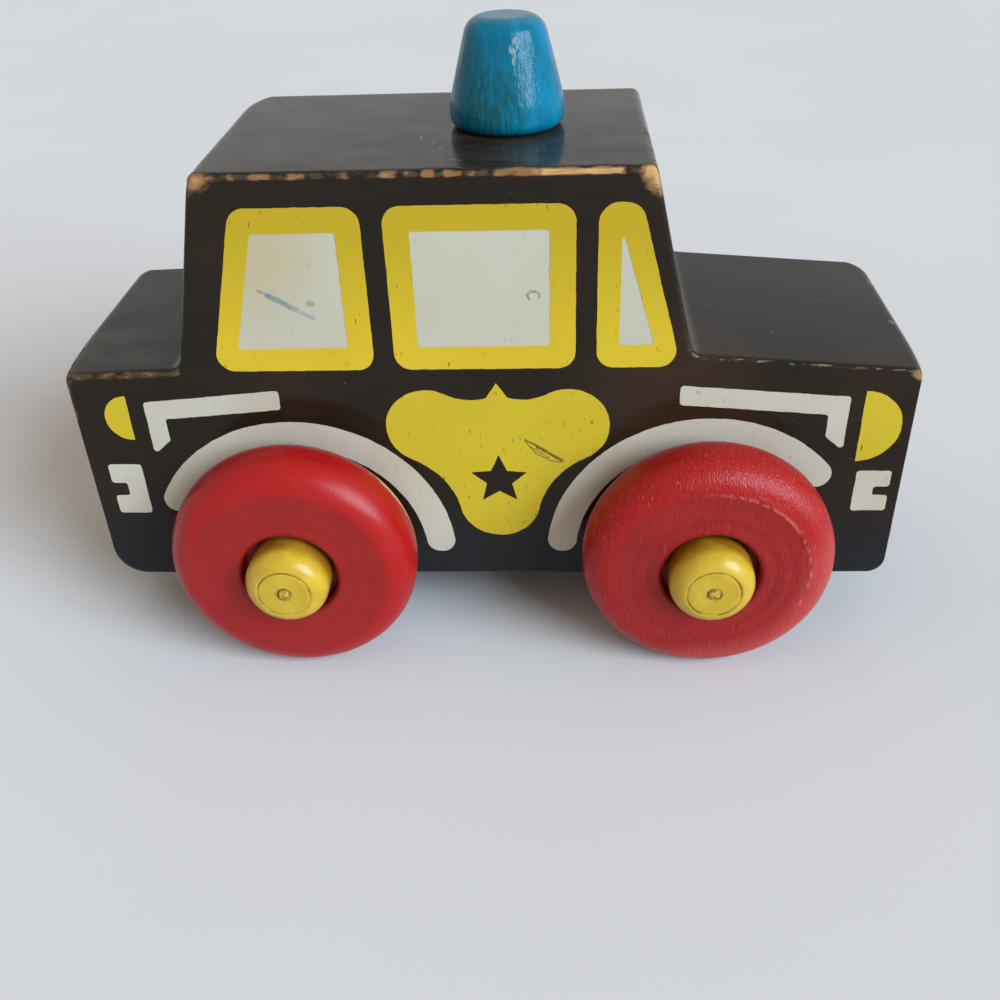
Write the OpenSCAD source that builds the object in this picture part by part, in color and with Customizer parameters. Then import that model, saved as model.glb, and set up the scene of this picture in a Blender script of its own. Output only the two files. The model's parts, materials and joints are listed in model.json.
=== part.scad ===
// Wooden toy patrol car: a sawn block body, four turned wheels on headed pegs, a turned beacon and prints
// +X is the car's front, +Z is up, and the origin lies on the ground under the middle of the body

/* [Body block] */
// Length of the block from end to end
body_length = 128.4; // [118:0.2:142]
// Thickness of the block between its two printed faces
body_thickness = 41; // [36:0.5:50]
// Height of the roof above the underside
roof_rise = 67.2; // [62:0.2:74]
// Height of the hood above the underside at the windshield
hood_rear_rise = 39.7; // [38.4:0.1:43]
// Height of the hood above the underside at the front end
hood_front_rise = 36.9; // [34:0.1:40]
// Height of the rear deck above the underside at the cabin
deck_front_rise = 38.2; // [36:0.1:41]
// Height of the rear deck above the underside at the rear end
deck_rear_rise = 37.6; // [34:0.1:40]
// Distance from the rear end of the block to the roof
roof_setback = 25.6; // [22:0.1:29]
// Length of the roof
roof_length = 62.5; // [57:0.5:68]
// Lean of the windshield and of the cabin's rear wall
cabin_lean = 12.8; // [8:0.2:16]

/* [Block edges] */
// Radius that eases every edge of the block
edge_round = 0.8; // [0.5:0.1:1.2]
// Radius of the lower rear corner
rear_bottom_round = 4.9; // [3:0.1:9]
// Radius of the lower front corner
front_bottom_round = 2.7; // [2:0.1:7]
// Radius of the upper corners of the two ends
end_round = 1.5; // [1:0.1:2.6]
// Radius of the two roof corners
roof_round = 1.4; // [1:0.1:2.6]
// Radius of the fillets where the cabin meets the hood and the deck
foot_fillet = 2.2; // [1:0.1:4]
// Distance that the hood's front left corner is worn back
hood_wear = 5.2; // [3:0.1:7]
// Distance from the left face at which that wear starts
hood_wear_reach = 4.9; // [3:0.1:9]
// Height over which that wear fades out below the hood
hood_wear_drop = 3; // [2.8:0.1:3.2]
// Distance that the left edge of the rear end is worn back
tail_wear = 2; // [1:0.1:3]
// Distance from the left face at which that wear starts
tail_wear_reach = 3; // [2:0.1:8]
// Distance that the left edge of the cabin's rear wall is worn back
cabin_wear = 3.5; // [1.5:0.1:4.5]
// Distance from the left face at which that wear starts
cabin_wear_reach = 8; // [5:0.1:12]
// Distance that the right edge of the front end is worn back
front_wear = 1; // [0.8:0.1:1.4]
// Distance from the right face at which that wear starts
front_wear_reach = 12; // [6:0.5:16]
// Distance that the right edge of the rear end is worn back
rear_wear = 1.6; // [0.8:0.1:2.4]
// Distance from the right face at which that wear starts
rear_wear_reach = 16; // [8:0.5:18]

/* [Wheels] */
// Diameter of a wheel
wheel_d = 38.1; // [34:0.1:42]
// Width of a wheel across its two faces
wheel_width = 11.5; // [10.6:0.1:14]
// Radius that rounds the tread into the outer face
tread_round = 4.8; // [3:0.1:5.2]
// Width of the flat left on the tread, inside which the tread rounds into the inner face
tread_flat = 1.5; // [0.5:0.1:4]
// Gap round a peg's head in the hub recess
recess_margin = 1; // [0.6:0.1:1.6]
// Depth of the hub recess
recess_depth = 3; // [2:0.1:5]
// Radius that softens the lip of the hub recess
lip_round = 0.8; // [0.3:0.1:1.2]
// Gap between a wheel and the block
wheel_gap = 1.2; // [0.6:0.1:2.5]
// Distance between the two axles
wheelbase = 63.8; // [60:0.1:68]
// Distance from the rear end of the block to the rear axle
rear_axle_inset = 33.95; // [31:0.05:37]
// Height of the axles above the underside
axle_rise = 9.3; // [7:0.05:11]

/* [Axle pegs] */
// Diameter of a peg's shank
peg_d = 6.4; // [5.5:0.1:8]
// Depth that a peg goes into the block
peg_insert = 15; // [10:0.5:17]
// Diameter of a peg's head
head_d = 12.7; // [11:0.1:13.5]
// Length of a peg's head from its underside to its face
head_length = 6.9; // [5:0.1:9]
// Radius of the head's shoulder
head_round = 3; // [2:0.1:3.4]
// Depth of the shoulder at the edge of the flat face
shoulder_depth = 2.9; // [2.4:0.05:3]
// Diameter of the turning nib at the centre of the face
nib_d = 1.6; // [1:0.1:3]
// Height of the turning nib
nib_height = 0.3; // [0.1:0.05:0.6]

/* [Beacon] */
// Greatest diameter of the beacon
beacon_d = 16.8; // [14:0.1:20]
// Diameter of the beacon where its taper meets the top
beacon_top_d = 10.7; // [9.6:0.1:13]
// Height of the beacon above the roof
beacon_height = 14.9; // [11:0.1:20]
// Radius of the beacon's foot
beacon_foot_round = 1.6; // [0.6:0.1:2]
// Radius of the beacon's shoulder
beacon_shoulder_round = 2.9; // [1:0.1:3.4]
// Diameter of the tenon glued into the roof
tenon_d = 9.5; // [7:0.1:11]
// Length of the tenon
tenon_length = 12; // [8:0.5:16]
// Place of the beacon along the roof, from the rear
beacon_place_share = 0.675; // [0.4:0.001:0.75]
// Distance of the beacon from the middle of the roof, towards the left
beacon_offset = 1.1; // [0:0.1:5]

/* [Printed windows] */
// Thickness of the printed layers
ink = 0.12; // [0.06:0.01:0.2]
// Height of the window sills above the underside
sill_rise = 38; // [36:0.1:39]
// Distance from the window heads to the roof
window_head_gap = 4.7; // [3:0.1:6]
// Width of the yellow band round a pane
frame_band = 3.6; // [2.4:0.1:4.2]
// Width of the band along a slanted side
side_band = 3.2; // [2.4:0.1:4.2]
// Width of the dark pillars between the windows
pillar = 3; // [2:0.1:5]
// Length of the middle window
middle_window_length = 26.3; // [22:0.1:29]
// Length of the front vent window along its sill
vent_length = 12.2; // [10.6:0.1:14]
// Distance from the windshield to the vent window at the sill
vent_sill_margin = 2; // [1:0.1:3]
// Distance from the windshield to the vent window at the window head
vent_head_margin = 2.9; // [1.5:0.1:3.2]
// Distance from the cabin's rear wall to the rear window at the sill
rear_sill_margin = 5.4; // [4:0.1:7]
// Distance from the cabin's rear wall to the rear window at the window head
rear_head_margin = 6; // [4.6:0.1:8]
// Corner radius of the window frames
frame_corner = 2.6; // [1.5:0.1:2.9]
// Corner radius of the printed panes
pane_corner = 0.4; // [0.2:0.05:0.8]

/* [Printed arches] */
// Outer radius of a wheel arch
arch_r = 24.5; // [22:0.1:26]
// Width of a wheel arch
arch_band = 4.6; // [3:0.1:6]
// Distance of an arch's centre below the axle
arch_drop = 4.5; // [2:0.1:6]
// Angle of the ends of the arches that face each other, above level
arch_inner_angle = 6; // [3:0.5:20]
// Angle of the rear arch's end at the rear, above level
arch_rear_angle = 28; // [20:0.5:50]
// Angle of the front arch's end at the front, above level
arch_front_angle = 41; // [30:0.5:60]

/* [Printed trim] */
// Width of a trim line's long bar
trim_bar = 3.2; // [2:0.1:4]
// Width of a trim line's leg
trim_leg = 2.9; // [2:0.1:4]
// Length of a trim line's leg
trim_leg_length = 9.2; // [7:0.1:10]
// Length of the slanted cut at the end of a leg
trim_foot = 2.5; // [1:0.1:3]
// Slope of the long bars
trim_slope = 4.8; // [0:0.2:6]
// Distance of the front trim line's corner below the hood's front edge
front_trim_drop = 4.1; // [3:0.1:5]
// Distance of the rear trim line's corner below the deck's rear edge
rear_trim_drop = 4.7; // [3:0.1:5.4]
// Length of the front trim line
front_trim_length = 24.9; // [20:0.1:28]
// Length of the rear trim line
rear_trim_length = 20.9; // [16:0.1:24]
// Distance from the front end to the front trim line
front_trim_inset = 10.55; // [10:0.05:12]
// Distance from the rear end to the rear trim line
rear_trim_inset = 12.35; // [11.6:0.05:14]
// Corner radius of the small printed marks
print_corner = 0.5; // [0.2:0.05:0.6]

/* [Printed lamps and bumper marks] */
// Radius of the front lamp
front_lamp_r = 6; // [5:0.1:6.4]
// Distance from the front end to the straight side of the front lamp
front_lamp_inset = 8.45; // [8.25:0.05:9]
// Distance of the front lamp's centre below the hood's front edge
front_lamp_drop = 9.2; // [8.6:0.1:10]
// Radius of the rear lamp
rear_lamp_r = 3.8; // [3:0.1:4.6]
// Distance from the rear end to the straight side of the rear lamp
rear_lamp_inset = 9.75; // [9:0.05:10.6]
// Distance of the rear lamp's centre below the deck's rear edge
rear_lamp_drop = 7.4; // [6:0.1:9]
// Length of a bumper mark
mark_length = 5.3; // [4:0.1:5.6]
// Height of the front bumper mark
front_mark_height = 7.3; // [5:0.1:8]
// Height of the rear bumper mark
rear_mark_height = 9.2; // [6:0.1:11]
// Gap between the front lamp and the front bumper mark under it
front_mark_gap = 1.8; // [1:0.1:3]
// Gap between the rear lamp and the rear bumper mark under it
rear_mark_gap = 4.5; // [3:0.1:6]
// Distance from the front end to the front bumper mark
front_mark_inset = 2.55; // [2.45:0.05:3.2]
// Distance from the rear end to the rear bumper mark
rear_mark_inset = 4.35; // [3.4:0.05:5.4]
// Depth of the notch in a bumper mark
notch_depth = 2.4; // [1.5:0.1:3]
// Height of the notch in the front bumper mark
front_notch_height = 1.6; // [1:0.1:2.4]
// Height of the notch in the rear bumper mark
rear_notch_height = 2.4; // [1:0.1:3.4]

/* [Printed shield] */
// Width of the shield across its two lobes
shield_width = 33.8; // [30:0.2:35]
// Radius of the lobes
lobe_r = 6.3; // [5.4:0.1:6.6]
// Distance of the lobes' tops below the window sills
shield_sill_gap = 3.5; // [3:0.1:5]
// Radius of the shield's foot
foot_r = 6.3; // [5:0.1:7]
// Height of the centre of the shield's foot above the underside
foot_rise = 14.4; // [13:0.1:15.5]
// Radius of the hollow flanks between the lobes and the foot
flank_r = 13; // [8:0.5:20]
// Radius of the two dips in the upper edge
dip_r = 8; // [5:0.1:12]
// Depth of the two dips below the lobes' tops
dip_depth = 1.7; // [1:0.1:2.5]
// Height of the small peak between the dips, above the lobes' tops
peak_rise = 1.1; // [0.6:0.1:2]
// Half the width of the peak at its foot
peak_half_width = 1.6; // [1:0.1:2.4]
// Radius of the star
star_r = 4.6; // [3.6:0.1:5.2]
// Height of the star's centre above the centre of the shield's foot
star_rise = 4.2; // [3:0.1:6]

/* [Fits] */
// Running clearance round a peg in its wheel
running_clearance = 0.1; // [0.02:0.01:0.1]
// Clearance between a peg's head and the recess floor
head_clearance = 0.3; // [0.1:0.05:0.5]
// Least gap that the arches and the shield keep to the prints beside them
print_gap = 0.8; // [0.4:0.1:0.9]
// Glue line round the pegs and the tenon, and at the bottom of their holes
glue_line = 0.05; // [0.02:0.01:0.1]

/* [Hidden] */
$fn = 64;

// Length by which a cut runs past the face it opens
overrun = 1;
// Steps of a rounded corner, and of the block's rounds into a face
corner_steps = 6;
ring_steps = 6;
// Steps of each arc of the shield
arc_steps = 12;
// Colours of the paints
black_paint = "#2b2724";
red_paint = "#b01f24";
yellow_paint = "#d8b92f";
white_paint = "#dcd9cf";
blue_paint = "#1a7fae";
// Ratio of the star's inner points to its outer ones
star_waist_share = 0.45;

// Heights of the block
under_z = wheel_d / 2 - axle_rise;
roof_z = under_z + roof_rise;
sill_z = under_z + sill_rise;
window_head_z = roof_z - window_head_gap;
axle_z = wheel_d / 2;

// Places along the car
rear_x = -body_length / 2;
front_x = body_length / 2;
roof_rear_x = rear_x + roof_setback;
roof_front_x = roof_rear_x + roof_length;
rear_axle_x = rear_x + rear_axle_inset;
front_axle_x = rear_axle_x + wheelbase;

// Places outwards from the block's face, along a peg
face_y = body_thickness / 2;
wheel_in_y = face_y + wheel_gap;
wheel_out_y = wheel_in_y + wheel_width;
head_in_y = wheel_out_y - recess_depth + head_clearance;
bore_r = peg_d / 2 + running_clearance;
recess_d = head_d + 2 * recess_margin;
inner_round = wheel_width - tread_flat - tread_round;

// Place of the beacon's axis along the car
beacon_x = roof_rear_x + roof_length * beacon_place_share;

// Cabin walls at a height
function cabin_rear_x(z) = roof_rear_x - (roof_z - z) * tan(cabin_lean);
function cabin_front_x(z) = roof_front_x + (roof_z - z) * tan(cabin_lean);

// Outline with a round of its own at each corner, as tangent arcs
function unit(v) = v / norm(v);
function turn(angle) = angle > 180 ? angle - 360 : angle < -180 ? angle + 360 : angle;
function corner_arc(before, at, after, r) =
    r == 0 ? [at] :
    let (
        u = unit(before - at),
        w = unit(after - at),
        half = acos(u * w) / 2,
        centre = at + unit(u + w) * r / sin(half),
        first = at + u * r / tan(half) - centre,
        last = at + w * r / tan(half) - centre,
        from = atan2(first.y, first.x),
        sweep = turn(atan2(last.y, last.x) - from)
    )
    [
        for (i = [0 : corner_steps])
            let (angle = from + sweep * i / corner_steps)
            centre + r * [cos(angle), sin(angle)]
    ];
function rounded(points, radii) =
    let (n = len(points))
    [
        for (i = [0 : n - 1])
            each corner_arc(points[(i + n - 1) % n], points[i], points[(i + 1) % n], radii[i])
    ];
function same(value, points) = [for (p = points) value];

// Corners of the block's side, from the lower rear corner round by the front, and their rounds
hood_z = under_z + hood_rear_rise;
hood_front_z = under_z + hood_front_rise;
deck_z = under_z + deck_front_rise;
deck_rear_z = under_z + deck_rear_rise;
block_corners = [
    [rear_x, under_z],
    [front_x, under_z],
    [front_x, hood_front_z - hood_wear_drop],
    [front_x, hood_front_z],
    [cabin_front_x(hood_z), hood_z],
    [roof_front_x, roof_z],
    [roof_rear_x, roof_z],
    [cabin_rear_x(deck_z), deck_z],
    [rear_x, deck_rear_z]
];
block_rounds = [
    rear_bottom_round, front_bottom_round, 0, end_round, foot_fillet,
    roof_round, roof_round, foot_fillet, end_round
];
corner_names = [
    "rear_bottom", "front_bottom", "wear_foot", "hood_front", "hood_foot",
    "roof_front", "roof_rear", "deck_foot", "deck_rear"
];
function corner(name) = search([name], corner_names)[0];

// How far each wall, numbered by its first corner, is drawn in at a face, and the depth at which that starts
ease = [edge_round, edge_round];
front_draw = [front_wear, front_wear_reach];
right_draws = [
    ease, front_draw, front_draw, ease, ease, ease, ease, ease, [rear_wear, rear_wear_reach]
];
left_draws = [
    ease, ease, ease, ease, ease, ease, [cabin_wear, cabin_wear_reach], ease, [tail_wear, tail_wear_reach]
];
unworn = [0, edge_round];
hood_draw = [hood_wear, hood_wear_reach];

// Draw at a depth below the face, along a quarter of an ellipse
function drawn_in(draw, depth) =
    depth >= draw[1] ? 0 : draw[0] * (1 - sqrt(1 - pow(1 - depth / draw[1], 2)));

// Where two walls meet after each has moved in along its own normal
function inward(from, to) = unit([from.y - to.y, to.x - from.x]);
function moved_corner(before, at, after, move_before, move_after) =
    let (
        m = inward(before, at),
        n = inward(at, after),
        s = m * at + move_before,
        t = n * at + move_after,
        cross = m.x * n.y - m.y * n.x
    )
    norm(m - n) == 0 ? at + m * move_before : [s * n.y - t * m.y, t * m.x - s * n.x] / cross;

// Outline of the block at a depth below a face, with the hood's front corner drawn back along the hood
function block_ring(draws, corner_draw, depth) =
    let (
        n = len(block_corners),
        moves = [for (d = draws) drawn_in(d, depth)],
        front = corner("hood_front"),
        hood_way = unit(block_corners[corner("hood_foot")] - block_corners[front]),
        along_hood = hood_way * drawn_in(corner_draw, depth),
        corners = [
            for (i = [0 : n - 1])
                moved_corner(
                    block_corners[(i + n - 1) % n], block_corners[i], block_corners[(i + 1) % n],
                    moves[(i + n - 1) % n], moves[i]
                ) + (i == front ? along_hood : [0, 0])
        ]
    )
    rounded(corners, block_rounds);

// Depths below a face at which the outline is drawn: through the ease, then through the deepest wear
function step_depths(reach) = [for (i = [0 : ring_steps]) reach * (1 - cos(90 * i / ring_steps))];
function ring_depths(draws) = concat(
    step_depths(edge_round),
    [for (d = step_depths(max([for (draw = draws) draw[1]]))) if (d > edge_round) d]
);

// Stands a side drawing up on the XZ plane, thick towards -Y
module upright(thick) {
    rotate([90, 0, 0])
        linear_extrude(thick)
            children();
}

// Number of the first ring point at a corner, of which a sharp corner has one
function first_point(corner) =
    corner == 0 ? 0 : first_point(corner - 1) + (block_rounds[corner - 1] == 0 ? 1 : corner_steps + 1);

// Side face of the block as convex panels of ring points: the lower body, the cabin, and strips between them
function side_panels() =
    let (
        hood = first_point(corner("hood_foot")),
        deck = first_point(corner("deck_foot")),
        total = first_point(len(block_corners))
    )
    concat(
        [concat([for (i = [deck + corner_steps : total - 1]) i], [for (i = [0 : hood]) i])],
        [[for (i = [hood + corner_steps : deck]) i]],
        [
            for (i = [0 : corner_steps - 1])
                let (low = deck + corner_steps - i)
                [hood + i, hood + i + 1, low - 1, low]
        ]
    );

// The block lofted through its outlines from the right face to the left one
module block_loft() {
    right = ring_depths(right_draws);
    left = ring_depths(concat(left_draws, [hood_draw]));
    last = len(left) - 1;
    rings = concat(
        [for (d = right) [for (p = block_ring(right_draws, unworn, d)) [p.x, d - face_y, p.y]]],
        [
            for (i = [0 : last])
                let (d = left[last - i])
                [for (p = block_ring(left_draws, hood_draw, d)) [p.x, face_y - d, p.y]]
        ]
    );
    n = len(rings[0]);
    k = len(rings);
    polyhedron(
        points = [for (ring = rings) each ring],
        faces = concat(
            [for (panel = side_panels()) [for (i = [len(panel) - 1 : -1 : 0]) panel[i]]],
            [for (panel = side_panels()) [for (i = panel) (k - 1) * n + i]],
            [
                for (j = [0 : k - 2], i = [0 : n - 1])
                    [j * n + i, j * n + (i + 1) % n, (j + 1) * n + (i + 1) % n, (j + 1) * n + i]
            ]
        )
    );
}

// Puts its children at each axle on both sides, standing out from the block along the peg
module at_axle(x, side) {
    translate([x, 0, axle_z])
        rotate([side == "left" ? -90 : 90, 0, 0])
            children();
}

module body_block() {
    hole_r = peg_d / 2 + glue_line;
    hole_depth = peg_insert + glue_line;
    socket_depth = tenon_length + glue_line;
    color(black_paint)
        difference() {
            block_loft();
            for (x = [rear_axle_x, front_axle_x], side = ["left", "right"])
                at_axle(x, side)
                    translate([0, 0, face_y - hole_depth])
                        cylinder(r = hole_r, h = hole_depth + overrun);
            translate([beacon_x, beacon_offset, roof_z - socket_depth])
                cylinder(r = tenon_d / 2 + glue_line, h = socket_depth + overrun);
        }
}

// Half section of the wheel, its axis upright and its inner face at zero
module wheel_section() {
    r = wheel_d / 2;
    floor_y = wheel_width - recess_depth;
    lip_r = recess_d / 2 + lip_round;
    difference() {
        union() {
            translate([bore_r, 0])
                square([r - inner_round - bore_r, wheel_width - tread_round]);
            translate([bore_r, 0])
                square([r - max(tread_round, inner_round) - bore_r, wheel_width]);
            translate([bore_r, inner_round])
                square([r - bore_r, wheel_width - inner_round - tread_round]);
            translate([r - inner_round, inner_round])
                circle(inner_round);
            translate([r - tread_round, wheel_width - tread_round])
                circle(tread_round);
            translate([bore_r, wheel_width - tread_round])
                square([r - tread_round - bore_r, tread_round]);
        }
        translate([0, floor_y])
            square([recess_d / 2, recess_depth + overrun]);
        difference() {
            translate([0, wheel_width - lip_round])
                square([lip_r, lip_round + overrun]);
            translate([lip_r, wheel_width - lip_round])
                circle(lip_round);
        }
    }
}

module wheel(x, side) {
    color(red_paint)
        at_axle(x, side)
            translate([0, 0, wheel_in_y])
                rotate_extrude()
                    wheel_section();
}

// Half section of a peg, its axis upright and the block's face at zero
module peg_section() {
    head_z = head_in_y - face_y;
    face_z = head_z + head_length;
    shoulder_z = face_z - shoulder_depth;
    translate([0, -peg_insert])
        square([peg_d / 2, peg_insert + head_z]);
    translate([0, head_z])
        square([head_d / 2, shoulder_z - head_z]);
    intersection() {
        union() {
            translate([head_d / 2 - head_round, shoulder_z])
                circle(head_round);
            translate([0, shoulder_z])
                square([head_d / 2 - head_round, shoulder_depth]);
        }
        translate([0, shoulder_z])
            square([head_d / 2, shoulder_depth]);
    }
    translate([0, face_z])
        square([nib_d / 2, nib_height]);
}

module axle_peg(x, side) {
    color(yellow_paint)
        at_axle(x, side)
            translate([0, 0, face_y])
                rotate_extrude()
                    peg_section();
}

module beacon() {
    foot = beacon_foot_round;
    outline = rounded(
        [
            [0, 0],
            [beacon_d / 2, 0],
            [beacon_d / 2, 2 * foot],
            [beacon_top_d / 2, beacon_height],
            [0, beacon_height]
        ],
        [0, foot, foot, beacon_shoulder_round, 0]
    );
    color(blue_paint)
        translate([beacon_x, beacon_offset, roof_z]) {
            rotate_extrude()
                polygon(outline);
            translate([0, 0, -tenon_length])
                cylinder(d = tenon_d, h = tenon_length + foot);
        }
}

// Prints a side drawing on the right or the left face of the block, as far as the face goes
module printed(side) {
    face = side == "left" ? block_ring(left_draws, hood_draw, 0) : block_ring(right_draws, unworn, 0);
    mirror([0, side == "left" ? 1 : 0, 0])
        translate([0, -face_y, 0])
            upright(ink)
                intersection() {
                    union()
                        children();
                    polygon(face);
                }
}

// Outline whose sides have all moved out by the same distance
function grown(points, by) =
    let (n = len(points))
    [for (i = [0 : n - 1]) moved_corner(points[(i + n - 1) % n], points[i], points[(i + 1) % n], -by, -by)];

// Windows along the sill: the vent is set from the windshield, and the others follow it to the rear
vent_front_x = cabin_front_x(sill_z) - vent_sill_margin;
vent_rear_x = vent_front_x - vent_length;
middle_front_x = vent_rear_x - pillar;
middle_rear_x = middle_front_x - middle_window_length;
rear_front_x = middle_rear_x - pillar;

module rear_window() {
    points = [
        [cabin_rear_x(sill_z) + rear_sill_margin, sill_z],
        [rear_front_x, sill_z],
        [rear_front_x, window_head_z],
        [cabin_rear_x(window_head_z) + rear_head_margin, window_head_z]
    ];
    polygon(rounded(points, same(frame_corner, points)));
}

module rear_pane() {
    low = sill_z + frame_band;
    high = window_head_z - frame_band;
    lean_share = frame_band / (window_head_z - sill_z);
    sill_x = cabin_rear_x(sill_z) + rear_sill_margin;
    head_x = cabin_rear_x(window_head_z) + rear_head_margin;
    points = [
        [sill_x + (head_x - sill_x) * lean_share + side_band, low],
        [rear_front_x - frame_band, low],
        [rear_front_x - frame_band, high],
        [head_x - (head_x - sill_x) * lean_share + side_band, high]
    ];
    polygon(rounded(points, same(pane_corner, points)));
}

module middle_window(inset, corner) {
    points = [
        [middle_rear_x + inset, sill_z + inset],
        [middle_front_x - inset, sill_z + inset],
        [middle_front_x - inset, window_head_z - inset],
        [middle_rear_x + inset, window_head_z - inset]
    ];
    polygon(rounded(points, same(corner, points)));
}

module vent_window() {
    head_front_x = cabin_front_x(window_head_z) - vent_head_margin;
    cap_round = (head_front_x - vent_rear_x) / 2;
    points = [
        [vent_rear_x, sill_z],
        [vent_front_x, sill_z],
        [head_front_x, window_head_z],
        [vent_rear_x, window_head_z]
    ];
    polygon(rounded(points, [frame_corner, frame_corner, cap_round, cap_round]));
}

module vent_pane() {
    low = sill_z + frame_band;
    high = window_head_z - frame_band;
    back = vent_rear_x + side_band;
    front = vent_front_x - side_band - side_band * tan(cabin_lean);
    points = [[back, low], [front, low], [back, high]];
    polygon(rounded(points, [pane_corner, pane_corner, pane_corner / 2]));
}

module panes() {
    rear_pane();
    middle_window(frame_band, pane_corner);
    vent_pane();
}

module window_frames(side) {
    color(yellow_paint)
        printed(side)
            difference() {
                union() {
                    rear_window();
                    middle_window(0, frame_corner);
                    vent_window();
                }
                panes();
            }
}

module window_panes(side) {
    color(white_paint)
        printed(side)
            panes();
}

// A band round a wheel between two angles, with round ends
module arch(x, from, to) {
    middle_r = arch_r - arch_band / 2;
    reach = 2 * arch_r;
    translate([x, axle_z - arch_drop]) {
        intersection() {
            difference() {
                circle(arch_r);
                circle(arch_r - arch_band);
            }
            polygon([
                [0, 0],
                reach * [cos(from), sin(from)],
                reach * [cos((from + to) / 2), sin((from + to) / 2)],
                reach * [cos(to), sin(to)]
            ]);
        }
        for (angle = [from, to])
            translate(middle_r * [cos(angle), sin(angle)])
                circle(arch_band / 2);
    }
}

module wheel_arches(side) {
    color(white_paint)
        printed(side)
            difference() {
                union() {
                    arch(rear_axle_x, arch_inner_angle, 180 - arch_rear_angle);
                    arch(front_axle_x, arch_front_angle, 180 - arch_inner_angle);
                }
                trim_drawing(print_gap);
                lamp_drawing(print_gap);
                at_marks() {
                    mark_room(front_mark_height, print_gap);
                    mark_room(rear_mark_height, print_gap);
                }
            }
}

// A bent trim line: its outer upper corner at zero, the bar to -X and the leg down
module trim_line(length, margin) {
    rise = length * tan(trim_slope);
    points = [
        [0, 0],
        [-length, rise],
        [-length, rise - trim_bar],
        [-trim_leg, trim_leg * tan(trim_slope) - trim_bar],
        [-trim_leg, trim_foot - trim_leg_length],
        [0, -trim_leg_length]
    ];
    polygon(rounded(grown(points, margin), same(print_corner, points)));
}

module trim_drawing(margin) {
    translate([front_x - front_trim_inset, hood_front_z - front_trim_drop])
        trim_line(front_trim_length, margin);
    translate([rear_x + rear_trim_inset, deck_rear_z - rear_trim_drop])
        mirror([1, 0])
            trim_line(rear_trim_length, margin);
}

module trim_lines(side) {
    color(white_paint)
        printed(side)
            trim_drawing(0);
}

// Half a disc, with its straight side on the Y axis
module half_disc(r, margin) {
    reach = r + margin;
    intersection() {
        circle(reach);
        translate([-margin, -reach])
            square([reach + margin, 2 * reach]);
    }
}

front_lamp_z = hood_front_z - front_lamp_drop;
rear_lamp_z = deck_rear_z - rear_lamp_drop;

module lamp_drawing(margin) {
    translate([front_x - front_lamp_inset, front_lamp_z])
        half_disc(front_lamp_r, margin);
    translate([rear_x + rear_lamp_inset, rear_lamp_z])
        mirror([1, 0])
            half_disc(rear_lamp_r, margin);
}

module lamps(side) {
    color(yellow_paint)
        printed(side)
            lamp_drawing(0);
}

// A block notched in the middle of its +X side, its upper left corner at zero
module bumper_mark(height, notch) {
    notch_top = (notch - height) / 2;
    points = [
        [0, -height],
        [mark_length, -height],
        [mark_length, notch_top - notch],
        [mark_length - notch_depth, notch_top - notch],
        [mark_length - notch_depth, notch_top],
        [mark_length, notch_top],
        [mark_length, 0],
        [0, 0]
    ];
    polygon(rounded(points, same(print_corner, points)));
}

// The room that a mark takes with a margin round it
module mark_room(height, margin) {
    translate([-margin, -height - margin])
        square([mark_length + 2 * margin, height + 2 * margin]);
}

// Puts its first child at the front mark's place and its second at the rear mark's
module at_marks() {
    translate([front_x - front_mark_inset - mark_length, front_lamp_z - front_lamp_r - front_mark_gap])
        children(0);
    translate([rear_x + rear_mark_inset + mark_length, rear_lamp_z - rear_lamp_r - rear_mark_gap])
        mirror([1, 0])
            children(1);
}

module bumper_marks(side) {
    color(white_paint)
        printed(side)
            at_marks() {
                bumper_mark(front_mark_height, front_notch_height);
                bumper_mark(rear_mark_height, rear_notch_height);
            }
}

// Centre of the circle of radius r that touches two others from outside, on the left of the way from a to b
function touching(a, a_r, b, b_r, r) =
    let (
        d = norm(b - a),
        u = (b - a) / d,
        along = (pow(a_r + r, 2) - pow(b_r + r, 2) + d * d) / (2 * d),
        off = sqrt(pow(a_r + r, 2) - along * along)
    )
    a + u * along + [-u.y, u.x] * off;

// Bearing of one point from another, in the full turn that starts at least, and points along an arc
function bearing(from, to, least) =
    let (angle = atan2(to.y - from.y, to.x - from.x))
    angle - 360 * floor((angle - least) / 360);
function arc_on(centre, r, from, to) =
    [
        for (i = [1 : arc_steps])
            let (angle = from + (to - from) * i / arc_steps)
            centre + r * [cos(angle), sin(angle)]
    ];

// Shield about its middle line: two lobes over a round foot, hollow flanks, and two dips with a peak between
module shield_outline() {
    foot = [0, under_z + foot_rise];
    top_z = sill_z - shield_sill_gap;
    lobe = [shield_width / 2 - lobe_r, top_z - lobe_r];
    flank = touching(lobe, lobe_r, foot, foot_r, flank_r);
    dip_z = top_z - dip_depth + dip_r;
    dip = [lobe.x - sqrt(pow(lobe_r + dip_r, 2) - pow(dip_z - lobe.y, 2)), dip_z];
    half = concat(
        arc_on(foot, foot_r, -90, bearing(foot, flank, -90)),
        arc_on(flank, flank_r, bearing(flank, foot, 0), bearing(flank, lobe, 0)),
        arc_on(lobe, lobe_r, bearing(lobe, flank, -180), bearing(lobe, dip, -180)),
        arc_on(dip, dip_r, bearing(dip, lobe, -180), -90 - asin((dip.x - peak_half_width) / dip_r))
    );
    last = len(half) - 1;
    polygon(concat(
        [[0, foot.y - foot_r]],
        half,
        [[0, top_z + peak_rise]],
        [for (i = [0 : last]) [-half[last - i].x, half[last - i].y]]
    ));
}

module star() {
    polygon([
        for (i = [0 : 9])
            star_r * (i % 2 == 0 ? 1 : star_waist_share) * [sin(36 * i), cos(36 * i)]
    ]);
}

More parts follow.
